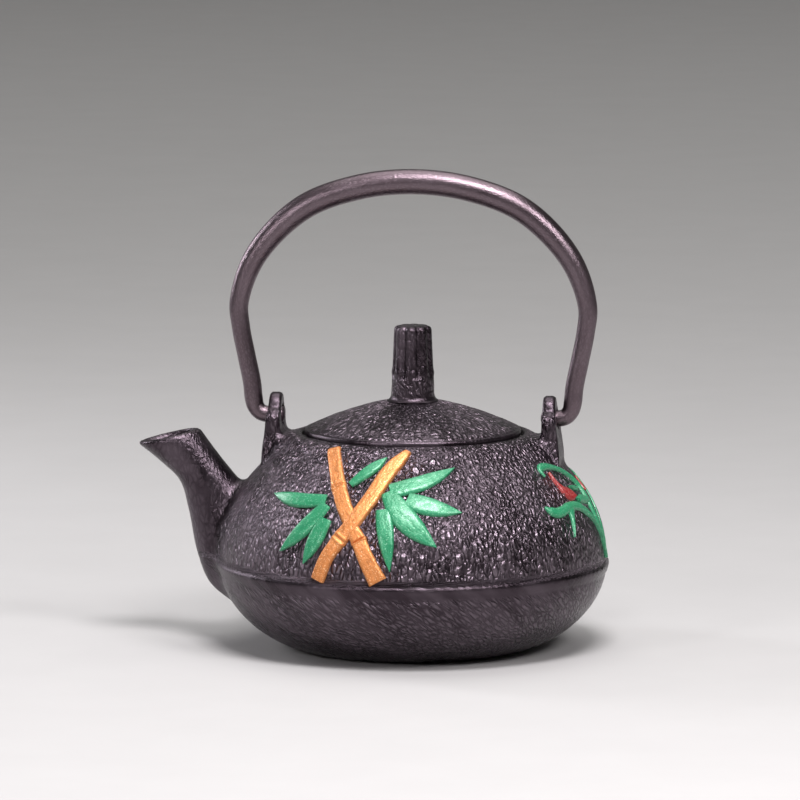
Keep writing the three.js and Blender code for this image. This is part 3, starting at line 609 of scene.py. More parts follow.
def casting_distance(x, y, z):
    radius = np.hypot(x, y)
    solid = outside(radius, z)
    joined = melt(solid, spout_distance(np.minimum(x, SPOUT_NEAR), y, z), 2.6)
    solid = np.where(x < SPOUT_FROM, joined, solid)
    fillet = 1.2 + 3.6 * smoothstep(-np.abs(x), -41.0, -38.0)
    solid = melt(solid, ear_distance(np.abs(x), y, z), fillet)
    solid = melt_out(solid, hollow(radius, z), 0.7)
    bored = melt_out(solid, channel_distance(np.minimum(x, SPOUT_NEAR), y, z), 0.9)
    return np.where(x < SPOUT_FROM, bored, solid)


# %% [markdown]
# ### Drawing the net
#
# Space is cut into small cells. Every cell that the surface passes through gets one point, and
# neighbouring points are joined into quads. A few steps along the distance then bring each point exactly
# onto the surface, so the net stays smooth.

# %% Net over a distance
def net_over(distance, low, high, step):
    axes = [np.arange(a, b + step, step) for a, b in zip(low, high)]
    values = np.empty([len(a) for a in axes], np.float32)
    y, z = np.meshgrid(axes[1], axes[2], indexing="ij")
    for i, x in enumerate(axes[0]):
        values[i] = distance(np.full(y.shape, x), y, z)
    inside = values < 0
    shape = tuple(n - 1 for n in values.shape)
    corners = [(i, j, k) for i in (0, 1) for j in (0, 1) for k in (0, 1)]

    def cut(table, c):
        return table[c[0]:c[0] + shape[0], c[1]:c[1] + shape[1], c[2]:c[2] + shape[2]]

    filled = sum(cut(inside, c).astype(np.int8) for c in corners)
    cells = np.argwhere((filled > 0) & (filled < 8))
    index = np.full(shape, -1)
    index[tuple(cells.T)] = np.arange(len(cells))
    total, count = np.zeros((len(cells), 3)), np.zeros(len(cells))
    faces = []
    for axis in range(3):
        unit = np.eye(3, dtype=int)[axis]
        u, v = np.eye(3, dtype=int)[(axis + 1) % 3], np.eye(3, dtype=int)[(axis + 2) % 3]
        for a, b in ((0, 0), (1, 0), (0, 1), (1, 1)):
            start = cells + a * u + b * v
            first, second = values[tuple(start.T)], values[tuple((start + unit).T)]
            crossing = (first < 0) != (second < 0)
            share = np.where(crossing, first / np.where(crossing, first - second, 1), 0)
            total += np.where(crossing[:, None], start + share[:, None] * unit, 0)
            count += crossing
        here = np.argwhere((filled > 0) & (filled < 8) & (cut(inside, (0, 0, 0)) != cut(inside, unit)))
        here = here[(here[:, (axis + 1) % 3] > 0) & (here[:, (axis + 2) % 3] > 0)]
        around = [index[tuple((here - a * u - b * v).T)] for a, b in ((0, 0), (1, 0), (1, 1), (0, 1))]
        quads = np.stack(around, axis=1)
        outward = inside[tuple(here.T)]
        faces.append(np.where(outward[:, None], quads, quads[:, ::-1]))
    points = np.array(low) + step * total / count[:, None]
    return points, np.vstack(faces)


def slope_of(distance, points, reach=0.05):
    """Direction in which the distance grows, at each point."""
    slope = np.empty_like(points)
    for axis in range(3):
        shift = reach * np.eye(3)[axis]
        slope[:, axis] = distance(*(points + shift).T) - distance(*(points - shift).T)
    return slope / np.maximum(np.linalg.norm(slope, axis=1), 1e-9)[:, None]


def pulled_on(distance, points, rounds=4):
    for _ in range(rounds):
        points = points - distance(*points.T)[:, None] * slope_of(distance, points)
    return points


# %% Casting: net, then the coarse part of its skin
NET_LOW, NET_HIGH, NET_STEP = (-82, -58.5, -1.5), (58.5, 58.5, 74.5), 0.92
casting_points, casting_faces = net_over(casting_distance, NET_LOW, NET_HIGH, NET_STEP)
casting_points = pulled_on(casting_distance, casting_points)
casting_normals = slope_of(casting_distance, casting_points, 0.4)
px, py, pz = casting_points.T
pradius = np.hypot(px, py)
shell = outside(pradius, pz)
upper = smoothstep(pz, 25.0, 26.2)
on_outside = smoothstep(-np.abs(shell), -1.2, -0.5) * smoothstep(pradius, 31.8, 33.4)
on_bowl = (1 - smoothstep(pz, 20.4, 21.6)) * smoothstep(pz, 0.3, 1.5)
past_joint = smoothstep(shell - spout_distance(np.minimum(px, SPOUT_NEAR), py, pz), -2.5, 1.5)
on_spout = np.where(px < SPOUT_FROM, past_joint, 0)
on_ear = smoothstep(shell - ear_distance(np.abs(px), py, pz), -1.5, 1.0)
crown = smoothstep(pz, 67.2, 68.2)
crumpled = on_outside * (upper + 0.55 * on_bowl) * (1 - on_spout) * (1 - on_ear)
crumpled = np.clip(crumpled + 0.16 * on_spout + 0.42 * on_ear * (1 - crown) + 0.03, 0, 1)
twist = 0.02 * (1 - upper) * pz
casting_skin = np.stack([px * np.cos(twist) - py * np.sin(twist),
                         px * np.sin(twist) + py * np.cos(twist), 0.48 * pz], axis=1)
rough = crumpled * (1 - on_spout) * (1 - on_ear)
lift = rough * (0.11 * crinkle(casting_skin, 1.9) + 0.06 * crinkle(casting_skin, 5.0))
casting_points = casting_points + casting_normals * lift[:, None]
new_piece("pot_casting", casting_points, facing_out(casting_points, casting_faces.tolist()), "pot",
          cast_iron, ["pot_body"], {"skin": casting_skin, "crumple": crumpled})


# %% [markdown]
# ## Turned pieces
#
# The lining, the lid, the washer and the rings of the basket are all turned. Each is a closed outline
# carried round the axis. Long straight runs are cut into short steps so that their bumps can follow.

# %% Turning an outline
def turned(outline, steps, spacing=0.8):
    """Points and quads of a closed outline turned about the axis. The outline's points are all kept."""
    line = []
    for a, b in zip(outline, np.roll(outline, -1, axis=0)):
        count = max(1, int(round(np.linalg.norm(b - a) / spacing)))
        line += [a + (b - a) * k / count for k in range(count)]
    line = np.array(line)
    angle = 2 * math.pi * np.arange(steps) / steps
    points = np.stack([np.outer(line[:, 0], np.cos(angle)), np.outer(line[:, 0], np.sin(angle)),
                       np.repeat(line[:, 1:2], steps, axis=1)], axis=-1).reshape(-1, 3)
    faces = grid_faces(len(line), steps, closed_rows=True)
    return points, facing_out(points, faces.tolist())


def ring_outline(inner, outer, bottom, top, edge=0.15):
    """A square section with its four corners taken off."""
    return np.array([(inner + edge, bottom), (outer - edge, bottom), (outer, bottom + edge),
                     (outer, top - edge), (outer - edge, top), (inner + edge, top),
                     (inner, top - edge), (inner, bottom + edge)])


# %% [markdown]
# ### Enamel lining
#
# Glassy black enamel keeps the iron from rusting. It is a skin half a millimetre thick, open at the neck
# and where the spout leaves. One sheet is turned, the faces over the spout's channel are left out, and
# Solidify gives the sheet its thickness.

# %% Lining
ENAMEL_GAP, ENAMEL_THICKNESS = 0.3, 0.5


def lining():
    inset, steps = WALL + ENAMEL_GAP, 192
    line = resampled(np.vstack([[(0.0, inset)], bowl_line(inset, 40), shoulder_line(inset, 60)]), 130)[1:]
    angle = 2 * math.pi * np.arange(steps) / steps
    points = np.stack([np.outer(line[:, 0], np.cos(angle)), np.outer(line[:, 0], np.sin(angle)),
                       np.repeat(line[:, 1:2], steps, axis=1)], axis=-1).reshape(-1, 3)
    quads = grid_faces(len(line), steps)
    middle = points[quads].mean(axis=1)
    x, y, z = middle.T
    quads = quads[(x > SPOUT_NEAR) | (channel_distance(np.minimum(x, SPOUT_NEAR), y, z) > 0.2)]
    mesh = bpy.data.meshes.new("enamel_lining_skin")
    bottom = len(points)
    points = np.vstack([points, [(0, 0, inset)]])
    fan = [[(j + 1) % steps, j, bottom] for j in range(steps)]
    mesh.from_pydata((points * MM).tolist(), [], quads[:, ::-1].tolist() + [f[::-1] for f in fan])
    sheet = bpy.data.objects.new("enamel_lining_skin", mesh)
    bpy.context.scene.collection.objects.link(sheet)
    thick = sheet.modifiers.new("Thickness", "SOLIDIFY")
    thick.thickness = ENAMEL_THICKNESS * MM
    thick.offset = 1.0
    made = bpy.data.meshes.new_from_object(sheet.evaluated_get(bpy.context.evaluated_depsgraph_get()))
    bpy.data.objects.remove(sheet)
    made.name = "enamel_skin"
    cleaner = bmesh.new()
    cleaner.from_mesh(made)
    loose = [vertex for vertex in cleaner.verts if not vertex.link_faces]
    bmesh.ops.delete(cleaner, geom=loose, context="VERTS")
    bmesh.ops.recalc_face_normals(cleaner, faces=cleaner.faces)
    cleaner.to_mesh(made)
    cleaner.free()
    made.shade_smooth()
    made.set_sharp_from_angle(angle=math.radians(50))
    made.materials.clear()
    made.materials.append(enamel)
    piece = bpy.data.objects.new("enamel_skin", made)
    bpy.context.scene.collection.objects.link(piece)
    return settle(piece, "pot", ["enamel_lining"])


lining()

# %% [markdown]
# ### Lid
#
# The lid is cast too: a dome with a rolled edge, hollow underneath, and a short skirt that keeps it from
# sliding out of the mouth. Its skin is drawn out along the radius, as the sand was smoothed from the
# middle outwards.

# %% Lid outline and mesh
LID_RADIUS, LID_BOTTOM, LID_TOP, LID_WALL = 30.8, 60.2, 70.3, 2.8
SKIRT_RADIUS, SKIRT_WALL, SKIRT_BOTTOM = 25.5, 2.5, 55.8
lid_under = LID_TOP - LID_WALL
dome = bezier([(29.9, 62.45), (27.0, 63.9), (17.5, 68.2), (6.2, 70.3)], 60)
edge_roll = through([(LID_RADIUS - 0.25, LID_BOTTOM + 0.2), (LID_RADIUS, 60.8), (LID_RADIUS - 0.02, 61.6),
                     (LID_RADIUS - 0.25, 62.15), (29.9, 62.45)], 5)
vault = bezier([(6.6, lid_under), (12, lid_under), (19, 66.6), (SKIRT_RADIUS - SKIRT_WALL, 61.6)], 24)
lid_outline = np.vstack([
    [(2.6, lid_under), (6.4, lid_under)], vault[1:],
    [(23.0, 56.1), (23.3, SKIRT_BOTTOM), (25.2, SKIRT_BOTTOM), (25.5, 56.1), (25.5, LID_BOTTOM),
     (LID_RADIUS - 0.5, LID_BOTTOM)], edge_roll, dome[1:], [(2.6, 70.35)]])
lid_points, lid_faces = turned(lid_outline, 300, 0.55)
lx, ly, lz = lid_points.T
lradius = np.hypot(lx, ly)
lturn = np.arctan2(ly, lx)
on_top = smoothstep(lz, 62.3, 62.9) * (lz > 60.0 + 8.1 * (1 - (lradius / 30) ** 1.6))
on_top = on_top * smoothstep(lradius, 6.3, 8.5)
lid_crumple = np.clip(0.75 * on_top + 0.12, 0, 1)
lid_skin = np.stack([22 * np.cos(lturn), 22 * np.sin(lturn), 0.6 * lradius], axis=1)
outward = np.stack([0.35 * np.cos(lturn), 0.35 * np.sin(lturn), np.full(len(lturn), 0.94)], axis=1)
lid_lift = on_top * (0.13 * crinkle(lid_skin, 1.9) + 0.08 * crinkle(lid_skin, 4.4))
lid_points = lid_points + outward * lid_lift[:, None]
new_piece("lid_casting", lid_points, lid_faces, "lid_assembly", cast_iron, ["lid"],
          {"skin": lid_skin, "crumple": lid_crumple}, sharp=48)


# %% [markdown]
# ### Knob
#
# The knob is a slim post. Its foot is plain, and above it eight round lobes run to a flat top, so that
# wet fingers can turn it. One ring of points is shaped by the lobes and carried up with a taper. The
# rivet under it goes through the lid and holds the washer.

# %% Knob
KNOB_FOOT = LID_TOP + 0.3
KNOB_RADIUS, KNOB_TAPER, KNOB_HEIGHT, LOBES = 6.2, 0.9, 21, 8


def lobed(angle, offset=0.66):
    """Radius of a section of eight equal round lobes, as a share of the outer radius."""
    share = 2 * math.pi / LOBES
    local = (angle + share / 2) % share - share / 2
    lobe = 1 - offset
    return offset * np.cos(local) + np.sqrt(lobe**2 - (offset * np.sin(local)) ** 2)


def knob():
    columns = 192
    angle = 2 * math.pi * (np.arange(columns) + 0.5) / columns
    rises = np.concatenate([np.linspace(-0.35, 1.4, 9), np.linspace(1.8, 19.4, 62),
                            20.98 - 1.3 * np.cos(np.linspace(0.35, math.pi / 2, 9))])
    rings = []
    for rise in rises:
        taper = KNOB_RADIUS - KNOB_TAPER * min(rise / KNOB_HEIGHT, 1)
        flare = 1.1 * np.exp(-max(rise + 0.35, 0) / 0.55)
        lobes = smoothstep(rise, 5.6, 7.4)
        drop = max(0.0, rise - 19.7) / 1.28
        inset = 1.25 * (1 - math.sqrt(max(0.0, 1 - drop**2)))
        shape = 1 + (lobed(angle) - 1) * lobes
        swell = 1 + 0.035 * np.exp(-((rise - 7.6) / 1.1) ** 2) * lobes
        radius = (taper + flare) * shape * swell - inset
        rings.append(np.stack([radius * np.cos(angle), radius * np.sin(angle),
                               np.full(columns, KNOB_FOOT + rise)], axis=1))
    top = rings[-1][:, 2].max() + 0.02
    for share in (0.8, 0.55, 0.3, 0.1):
        flat = rings[len(rises) - 1] * (share, share, 1)
        flat[:, 2] = top
        rings.append(flat)
    below = [(0.12, 65.27), (3.2, 65.27), (3.4, 65.45), (3.4, 66.2), (3.2, 66.4), (2.3, 66.4), (2.3, 69.95)]
    lower = [np.stack([r * np.cos(angle), r * np.sin(angle), np.full(columns, z)], axis=1)
             for r, z in below]
    rings = lower + rings
    faces = tube_faces(len(rings), columns)
    points = np.vstack([*rings, [(0, 0, below[0][1]), (0, 0, top)]])
    height = points[:, 2] - KNOB_FOOT
    around = np.arctan2(points[:, 1], points[:, 0])
    skin = np.stack([6 * np.cos(around + 0.04 * height), 6 * np.sin(around + 0.04 * height),
                     0.6 * points[:, 2]], axis=1)
    rough = smoothstep(height, 0.8, 2.0) * (1 - 0.6 * smoothstep(height, 5.5, 7.5))
    rough = rough * (1 - smoothstep(height, 18.8, 20.5)) * (height > 0)
    out = np.stack([np.cos(around), np.sin(around), 0 * around], axis=1)
    points = points + out * (0.10 * rough * crinkle(skin, 1.6))[:, None]
    new_piece("knob_post", points, faces, "lid_assembly", cast_iron, ["lid_knob"],
              {"skin": skin, "crumple": np.clip(0.5 * rough + 0.05, 0, 1)}, sharp=55)


knob()

# %% Washer under the lid
washer_points, washer_faces = turned(ring_outline(2.6, 5.6, 66.4, 67.2), 96, 0.5)
new_piece("knob_washer_ring", washer_points, washer_faces, "lid_assembly", steel,
          ["knob_washer"], sharp=35)


# %% [markdown]
# ## Bail
#
# The bail is a bar bent into an arch. It is slim where it hooks through the ears and stout at the grip.
# A round section is carried along one smooth line, square to it at every step.

# %% Bail
def bail():
    leg_x, belly, rise = 44.7, 5.0, 66.9
    end_radius, leg_radius, grip_radius, bar_length = 2.35, 2.6, 3.6, 240
    side = [(leg_x + 0.28 * belly, 9), (leg_x + 0.58 * belly, 16.4), (leg_x + 0.9 * belly, 24.6),
            (leg_x + belly, 0.48 * rise), (leg_x + 0.02 * belly, 0.68 * rise),
            (0.71 * leg_x, 0.88 * rise), (0.36 * leg_x, 0.972 * rise)]
    hook = [(36.6, 0.0), (38.6, 0.0), (41.6, -0.05), (43.7, 0.55), (45.0, 2.1), (45.6, 4.4)]
    half = hook + side
    line = [(-x, z) for x, z in half] + [(0, rise)] + half[::-1]
    line = resampled(through(line, 24), 420)
    tangent = np.gradient(line, axis=0)
    tangent /= np.linalg.norm(tangent, axis=1)[:, None]
    normal = np.stack([-tangent[:, 1], tangent[:, 0]], axis=1)
    height = line[:, 1]
    radius = end_radius + (leg_radius - end_radius) * smoothstep(height, 0.2, 5)
    radius = radius + (grip_radius - radius) * smoothstep(height, 22, rise - 4)
    end = np.minimum(np.abs(line[:, 0] - line[0, 0]), np.abs(line[:, 0] - line[-1, 0]))
    rounded = np.sqrt(np.clip(1 - (1 - np.clip(end / 0.8, 0, 1)) ** 2, 0.16, 1))
    radius = radius * np.where(height < 1, rounded, 1)
    columns = 32
    angle = 2 * math.pi * np.arange(columns) / columns
    rings = [np.stack([p[0] + r * np.cos(angle) * n[0], r * np.sin(angle),
                       PIVOT_HEIGHT + p[1] + r * np.cos(angle) * n[1]], axis=1)
             for p, n, r in zip(line, normal, radius)]
    points = np.vstack([*rings, [(line[0, 0], 0, PIVOT_HEIGHT), (line[-1, 0], 0, PIVOT_HEIGHT)]])
    faces = facing_out(points, tube_faces(len(rings), columns))
    along = np.repeat(np.linspace(0, bar_length, len(line)), columns)
    around = np.tile(angle, len(line))
    skin = np.stack([3.2 * np.cos(around), 3.2 * np.sin(around), 0.5 * along], axis=1)
    skin = np.vstack([skin, skin[:1], skin[-1:]])
    rough = 0.5 + 0.3 * crinkle(skin, 6)
    new_piece("bail_bar", points, faces, "bail", bar_iron, ["bail_handle"],
              {"skin": skin, "crumple": rough})


bail()


# %% [markdown]
# ## Raised pattern
#
# Bamboo on the front and an orchid by the right ear stand out of the shoulder by a millimetre or so. Each
# stroke is a strip laid over the shoulder: pillowed across, pointed or blunt at its ends, and sunk a
# little into the iron so that it looks cast with it.

# %% Laying a stroke over the shoulder
skin_run = resampled(skin_line, 200)
skin_slope = np.gradient(skin_run, axis=0)
skin_slope /= np.linalg.norm(skin_slope, axis=1)[:, None]


def over_skin(azimuth, height, lift):
    """Points above the shoulder. Azimuth is in degrees from the front, -Y, towards the right, +X."""
    radius = np.interp(height, skin_run[:, 1], skin_run[:, 0])
    up = np.interp(height, skin_run[:, 1], skin_slope[:, 1])
    out = np.interp(height, skin_run[:, 1], -skin_slope[:, 0])
    angle = np.radians(azimuth)
    radius = radius + lift * up
    return np.stack([radius * np.sin(angle), -radius * np.cos(angle), height + lift * out], axis=-1)


def stroke(spine, half_width, lift, rows=60, across=15, crown=2.6):
    """One raised strip. half_width and lift are functions of the share along the spine."""
    line = resampled(through(spine, 16), rows)
    share = np.linspace(0, 1, rows)
    radius = np.interp(line[:, 1], skin_run[:, 1], skin_run[:, 0])
    rise = np.interp(line[:, 1], skin_run[:, 1], skin_slope[:, 1])
    per_degree = np.radians(radius)
    step = np.gradient(line, axis=0)
    step = np.stack([step[:, 0] * per_degree, step[:, 1] / rise], axis=1)
    length = np.linalg.norm(step, axis=1)
    step /= length[:, None]
    width = np.array([half_width(s) for s in share])
    height = np.array([lift(s) for s in share])
    top = np.linspace(-1, 1, across)
    section = np.concatenate([top, [1.04, 0.0, -1.04]])
    raised = np.concatenate([np.clip(1 - np.abs(top) ** crown, 0, 1) ** 0.5, [0, 0, 0]])
    sunk = np.concatenate([np.full(across, -0.15), [-0.9, -1.0, -0.9]])
    rows_of = []
    for k in range(rows):
        side = width[k] * section
        azimuth = line[k, 0] - side * step[k, 1] / per_degree[k]
        level = line[k, 1] + side * step[k, 0] * rise[k]
        rows_of.append(over_skin(azimuth, level, height[k] * raised + sunk))
    columns = len(section)
    points = np.vstack([*rows_of, rows_of[0].mean(axis=0), rows_of[-1].mean(axis=0)])
    faces = facing_out(points, tube_faces(rows, columns))
    along = np.repeat(np.cumsum(length) - length[0], columns)
    sideways = np.tile(section, rows)
    return {"points": points, "faces": faces,
            "along": np.concatenate([along, along[:1], along[-1:]]),
            "across": np.concatenate([sideways, [1, 1]])}


def leaf(width, foot=0.7, widest=0.36, point=2.0):
    """Half width of a leaf: foot is its share at the stalk, widest is where it is broadest."""
    def half_width(s):
        if s < widest:
            return 0.5 * width * (foot + (1 - foot) * math.sin(0.5 * math.pi * s / widest))
        return 0.5 * width * (0.03 + 0.97 * (1 - ((s - widest) / (1 - widest)) ** point))
    return half_width


def tapered(*widths):
    """Half width from full widths at equal steps along the stroke."""
    return lambda s: 0.5 * float(np.interp(s, np.linspace(0, 1, len(widths)), widths))


def leaf_lift(height):
    return lambda s: height * (0.55 + 0.45 * math.sin(math.pi * min(1, 0.1 + 0.85 * s)))


def raised_piece(name, strokes, material, node):
    """Several strokes as one piece."""
    points, faces, along, across = [], [], [], []
    for part in strokes:
        base = sum(len(p) for p in points)
        points.append(part["points"])
        faces += [[base + i for i in face] for face in part["faces"]]
        along.append(part["along"])
        across.append(part["across"])
    points = np.vstack(points)
    lift = 0.06 * crinkle(points, 1.3) + 0.05 * crinkle(points, 3.0)
    out = points * (1, 1, 0)
    out /= np.linalg.norm(out, axis=1)[:, None]
    new_piece(name, points + out * lift[:, None], faces, "pot", material, [node],
              {"skin": points, "along": np.concatenate(along), "across": np.concatenate(across)}, sharp=70)


# %% [markdown]
# ### Bamboo stalks
#
# Two stalks cross. Each swells at its joint, where two thin rings stand up with a groove between them.
# The front one lies on top, so the back one is in two lengths.

# %% Stalks
def stalk(spine, joint, height, widths):
    half = tapered(*widths)

    def half_width(s):
        return half(s) * (1 + 0.10 * math.exp(-((s - joint) / 0.035) ** 2))

    def lift(s):
        length = 38 * (s - joint)
        rings = math.exp(-((length - 0.7) / 0.3) ** 2) + math.exp(-((length + 0.7) / 0.3) ** 2)
        ends = min(1.0, 0.75 + 8 * min(s, 1 - s))
        return (height + 0.30 * rings - 0.25 * math.exp(-(length / 0.35) ** 2)) * ends

    return stroke(spine, half_width, lift, rows=150, across=21, crown=5.0)


raised_piece("bamboo_front_stalk",
             [stalk([(4.4, 60), (-1.2, 56.6), (-3.8, 54.2), (-8.4, 47.9), (-13, 41.4), (-19.3, 32.7),
                     (-22.1, 26.1)], 0.7, 1.35, (2.2, 4.2, 4.8, 4.8, 4.7, 4.6, 4.5, 4.3, 4.3, 4.3))],
             copper_paint, "bamboo_stalk_front")
raised_piece("bamboo_back_stalk_top",
             [stalk([(-32, 60), (-26.1, 55.5), (-20.2, 49.8), (-13.5, 42.6)], 0.55, 1.0,
                    (4.1, 4.2, 4.5, 4.6))],
             copper_paint, "bamboo_stalk_back_upper")
raised_piece("bamboo_back_stalk_foot",
             [stalk([(-13.5, 41.4), (-10.2, 37.8), (-7, 32.2), (-3.6, 26.3)], 0.3, 1.05,
                    (4.3, 4.5, 4.9, 5.5))],
             copper_paint, "bamboo_stalk_back_lower")


# %% [markdown]
# ### Bamboo leaves
#
# Seven leaves grow in two sprays from the edges of the stalks, and one more stands alone near the top.
# Each spray is one piece: where its leaves meet, the pillowed edges leave a fine groove.

# %% Leaves
def leaves(plan):
    return [stroke(spine, leaf(width, foot, widest), leaf_lift(1.1), rows=70, across=19, crown=5.0)
            for spine, width, foot, widest in plan]


raised_piece("bamboo_left_leaves", leaves([
    ([(-24.2, 47.3), (-34.6, 46.6), (-48.3, 47.2)], 4.8, 0.8, 0.45),
    ([(-23.4, 46.2), (-29.3, 39.4), (-36.2, 32.9)], 5.0, 0.75, 0.4),
    ([(-22.0, 42.6), (-24.2, 36.8), (-27.2, 30.2)], 5.0, 0.8, 0.35)]),
    green_paint, "bamboo_spray_left")
raised_piece("bamboo_top_leaf", leaves([([(-17.0, 51.6), (-10.7, 55.4), (-4.6, 58.6)], 3.7, 0.6, 0.5)]),
             green_paint, "bamboo_leaf_top")
raised_piece("bamboo_right_leaves", leaves([
    ([(-1.6, 50.4), (8.9, 52.2), (23.7, 55.9)], 5.4, 0.9, 0.3),
    ([(4.6, 48.2), (13, 46.3), (22.6, 44.7)], 6.1, 0.85, 0.3),
    ([(-2.2, 50.0), (3.2, 44.4), (7.3, 40.8), (13.6, 35.9)], 7.3, 0.6, 0.4),
    ([(-3.0, 45.6), (-1.6, 38.4), (-0.1, 29.3)], 5.0, 0.95, 0.25)]),
    green_paint, "bamboo_spray_right")


# %% [markdown]
# ### Orchid
#
# Grass-like blades arch over two red buds. A blade starts with a blunt, drooping end and thins along its
# arch, so its widths are simply listed. A bud is a round bulb drawn out to a thin tip, listed the same
# way.

# %% Orchid
def blade(spine, widths, height=1.0, rows=110):
    half = tapered(*widths)
    return stroke(spine, lambda s: half(s) * min(1.0, 0.35 + 9 * s),
                  lambda s: height * min(1.0, 0.5 + 8 * s), rows=rows, across=13, crown=2.4)


def bud(spine, widths, height, rows=60):
    half = tapered(*widths)
    return stroke(spine, lambda s: half(s) * min(1.0, 0.3 + 8 * s), lambda s: height * (1 - 0.45 * s),
                  rows=rows, across=15, crown=2.2)


raised_piece("orchid_long_blade", [
    blade([(65.0, 51.4), (64.8, 53.0), (68, 53.7), (73, 53.3), (79.2, 51.9), (84.2, 49.5), (86.0, 47.0),
           (85.2, 44.0), (84.2, 40.4), (84.2, 34.3), (88, 26.4)],
          (2.2, 2.9, 2.4, 1.9, 1.9, 2.1, 2.4, 2.3, 1.9, 1.5, 1.2, 0.9)),
    stroke([(75.6, 43.9), (79, 43.9), (84.4, 43.2)], tapered(1.8, 3.3, 2.4), lambda s: 1.1, 30, 13, 2.2)],
    green_paint, "orchid_blade_long")
raised_piece("orchid_outer_blade", [blade([(102, 50.2), (98.6, 47.2), (95, 43.8), (91.6, 39.8), (90, 35),
                                           (90.6, 29)], (0.5, 0.8, 0.9, 0.9, 0.8, 0.6), 0.5)],
             green_paint, "orchid_blade_back")
raised_piece("orchid_low_leaf", [
    blade([(54.8, 44.2), (56.2, 43.2), (59, 42.3), (62.6, 42.4), (67.8, 43.2), (73.2, 42.6), (77.6, 40.4),
           (81.4, 37.0), (84, 32.8)], (2.6, 3.3, 3.3, 3.0, 2.9, 3.0, 2.4, 1.6, 1.0, 0.5), 1.15),
    stroke([(67.2, 42.6), (65.5, 38.9), (63.9, 35.2)], tapered(4.6, 2.4, 1.4, 0.8, 0.2),
           lambda s: 1.05 - 0.3 * s, 40, 13, 2.2)],
    green_paint, "orchid_leaf_wavy")
raised_piece("orchid_front_bud", [bud([(74.0, 44.9), (72.2, 45.9), (69.9, 47.3), (68.8, 48.9), (68.6, 50.4),
                                       (69.0, 52.0)], (3.2, 4.8, 4.9, 3.2, 1.7, 1.2, 0.9), 1.5)],
             red_paint, "orchid_bud_front")
raised_piece("orchid_back_bud", [bud([(91.4, 44.9), (93.2, 46.6), (95.4, 48.6)],
                                     (1.4, 2.0, 1.4, 0.7), 0.8)],
             red_paint, "orchid_bud_back")
raised_piece("orchid_stub", [stroke([(76.4, 47.6), (81.4, 46.6)], tapered(0.9, 1.8, 1.6), lambda s: 0.9,
                                    24, 11, 2.2)],
             green_paint, "orchid_nub")

# %% [markdown]
# ## Infuser basket
#
# The basket's flange lies on the ledge of the mouth and its wall is woven wire. The rings are turned. The
# weave repeats, so Geometry Nodes make it: one waved wire is copied round the wall, and one waved hoop is
# stacked up it, over and under.

# %% Flange and base ring
flange_outline = np.array([
    (26.1, 53.95), (26.25, 53.8), (26.65, 53.8), (26.8, 53.95), (26.8, 58.9), (27.0, 59.2), (30.9, 59.2),
    (31.1, 59.4), (31.1, 59.7), (30.9, 59.9), (26.7, 59.9), (26.3, 59.75), (26.1, 59.4)])
rim_points, rim_faces = turned(flange_outline, 192, 0.8)
new_piece("infuser_flange", rim_points, rim_faces, "infuser", steel, ["infuser_rim"], sharp=50)
base_points, base_faces = turned(ring_outline(23.8, 26.8, 27.2, 28.8, 0.3), 192, 0.8)
new_piece("infuser_foot_ring", base_points, base_faces, "infuser", steel,
          ["infuser_base_ring"], sharp=35)


# %% Helpers for Geometry Nodes
def new_tree(name, sizes):
    tree = bpy.data.node_groups.new(name, "GeometryNodeTree")
    tree.interface.new_socket("Geometry", in_out="INPUT", socket_type="NodeSocketGeometry")
    for label, default in sizes.items():
        kind = "NodeSocketInt" if isinstance(default, int) else "NodeSocketFloat"
        tree.interface.new_socket(label, in_out="INPUT", socket_type=kind).default_value = default
    tree.interface.new_socket("Geometry", in_out="OUTPUT", socket_type="NodeSocketGeometry")
    return tree, add_node(tree, "NodeGroupInput", (-1200, 0)), add_node(tree, "NodeGroupOutput", (1200, 0))


def made_by(tree, kind, inputs, **settings):
    """Adds a node, sets or links its inputs, and gives back its first output."""
    node = add_node(tree, kind, **settings)
    for name, value in inputs.items():
        if isinstance(value, bpy.types.NodeSocket):
            tree.links.new(value, node.inputs[name])
        else:
            node.inputs[name].default_value = value
    return node.outputs[0]


def vector_of(tree, **parts):
    return made_by(tree, "ShaderNodeCombineXYZ", parts)


def position(tree):
    """The position, and its three parts."""
    place = add_node(tree, "GeometryNodeInputPosition").outputs[0]
    split = add_node(tree, "ShaderNodeSeparateXYZ")
    tree.links.new(place, split.inputs[0])
    return place, split.outputs


def wire_mesh(tree, curve, wire_radius, sides):
    profile = made_by(tree, "GeometryNodeCurvePrimitiveCircle", {
        "Resolution": sides, "Radius": wire_radius})
    return made_by(tree, "GeometryNodeCurveToMesh", {
        "Curve": curve, "Profile Curve": profile, "Fill Caps": True})


def waved_wire(tree, curve, phase, direction, size):
    """A wire along the curve that sways in the direction with the cosine of its phase."""
    sway = math_node(tree, "MULTIPLY", math_node(tree, "COSINE", phase), size["Sway"])
    offset = made_by(tree, "ShaderNodeVectorMath", {"Vector": direction, "Scale": sway}, operation="SCALE")
    moved = made_by(tree, "GeometryNodeSetPosition", {"Geometry": curve, "Offset": offset})
    return wire_mesh(tree, moved, size["Wire"], 5)


def gather(tree, shapes, result):
    """Joins the shapes, makes their copies real and dresses them in steel."""
    joined = add_node(tree, "GeometryNodeJoinGeometry", (700, 0))
    for shape in shapes:
        tree.links.new(shape, joined.inputs["Geometry"])
    real = made_by(tree, "GeometryNodeRealizeInstances", {"Geometry": joined.outputs[0]})
    dressed = made_by(tree, "GeometryNodeSetMaterial", {"Geometry": real, "Material": steel})
    tree.links.new(dressed, result.inputs["Geometry"])
    return tree


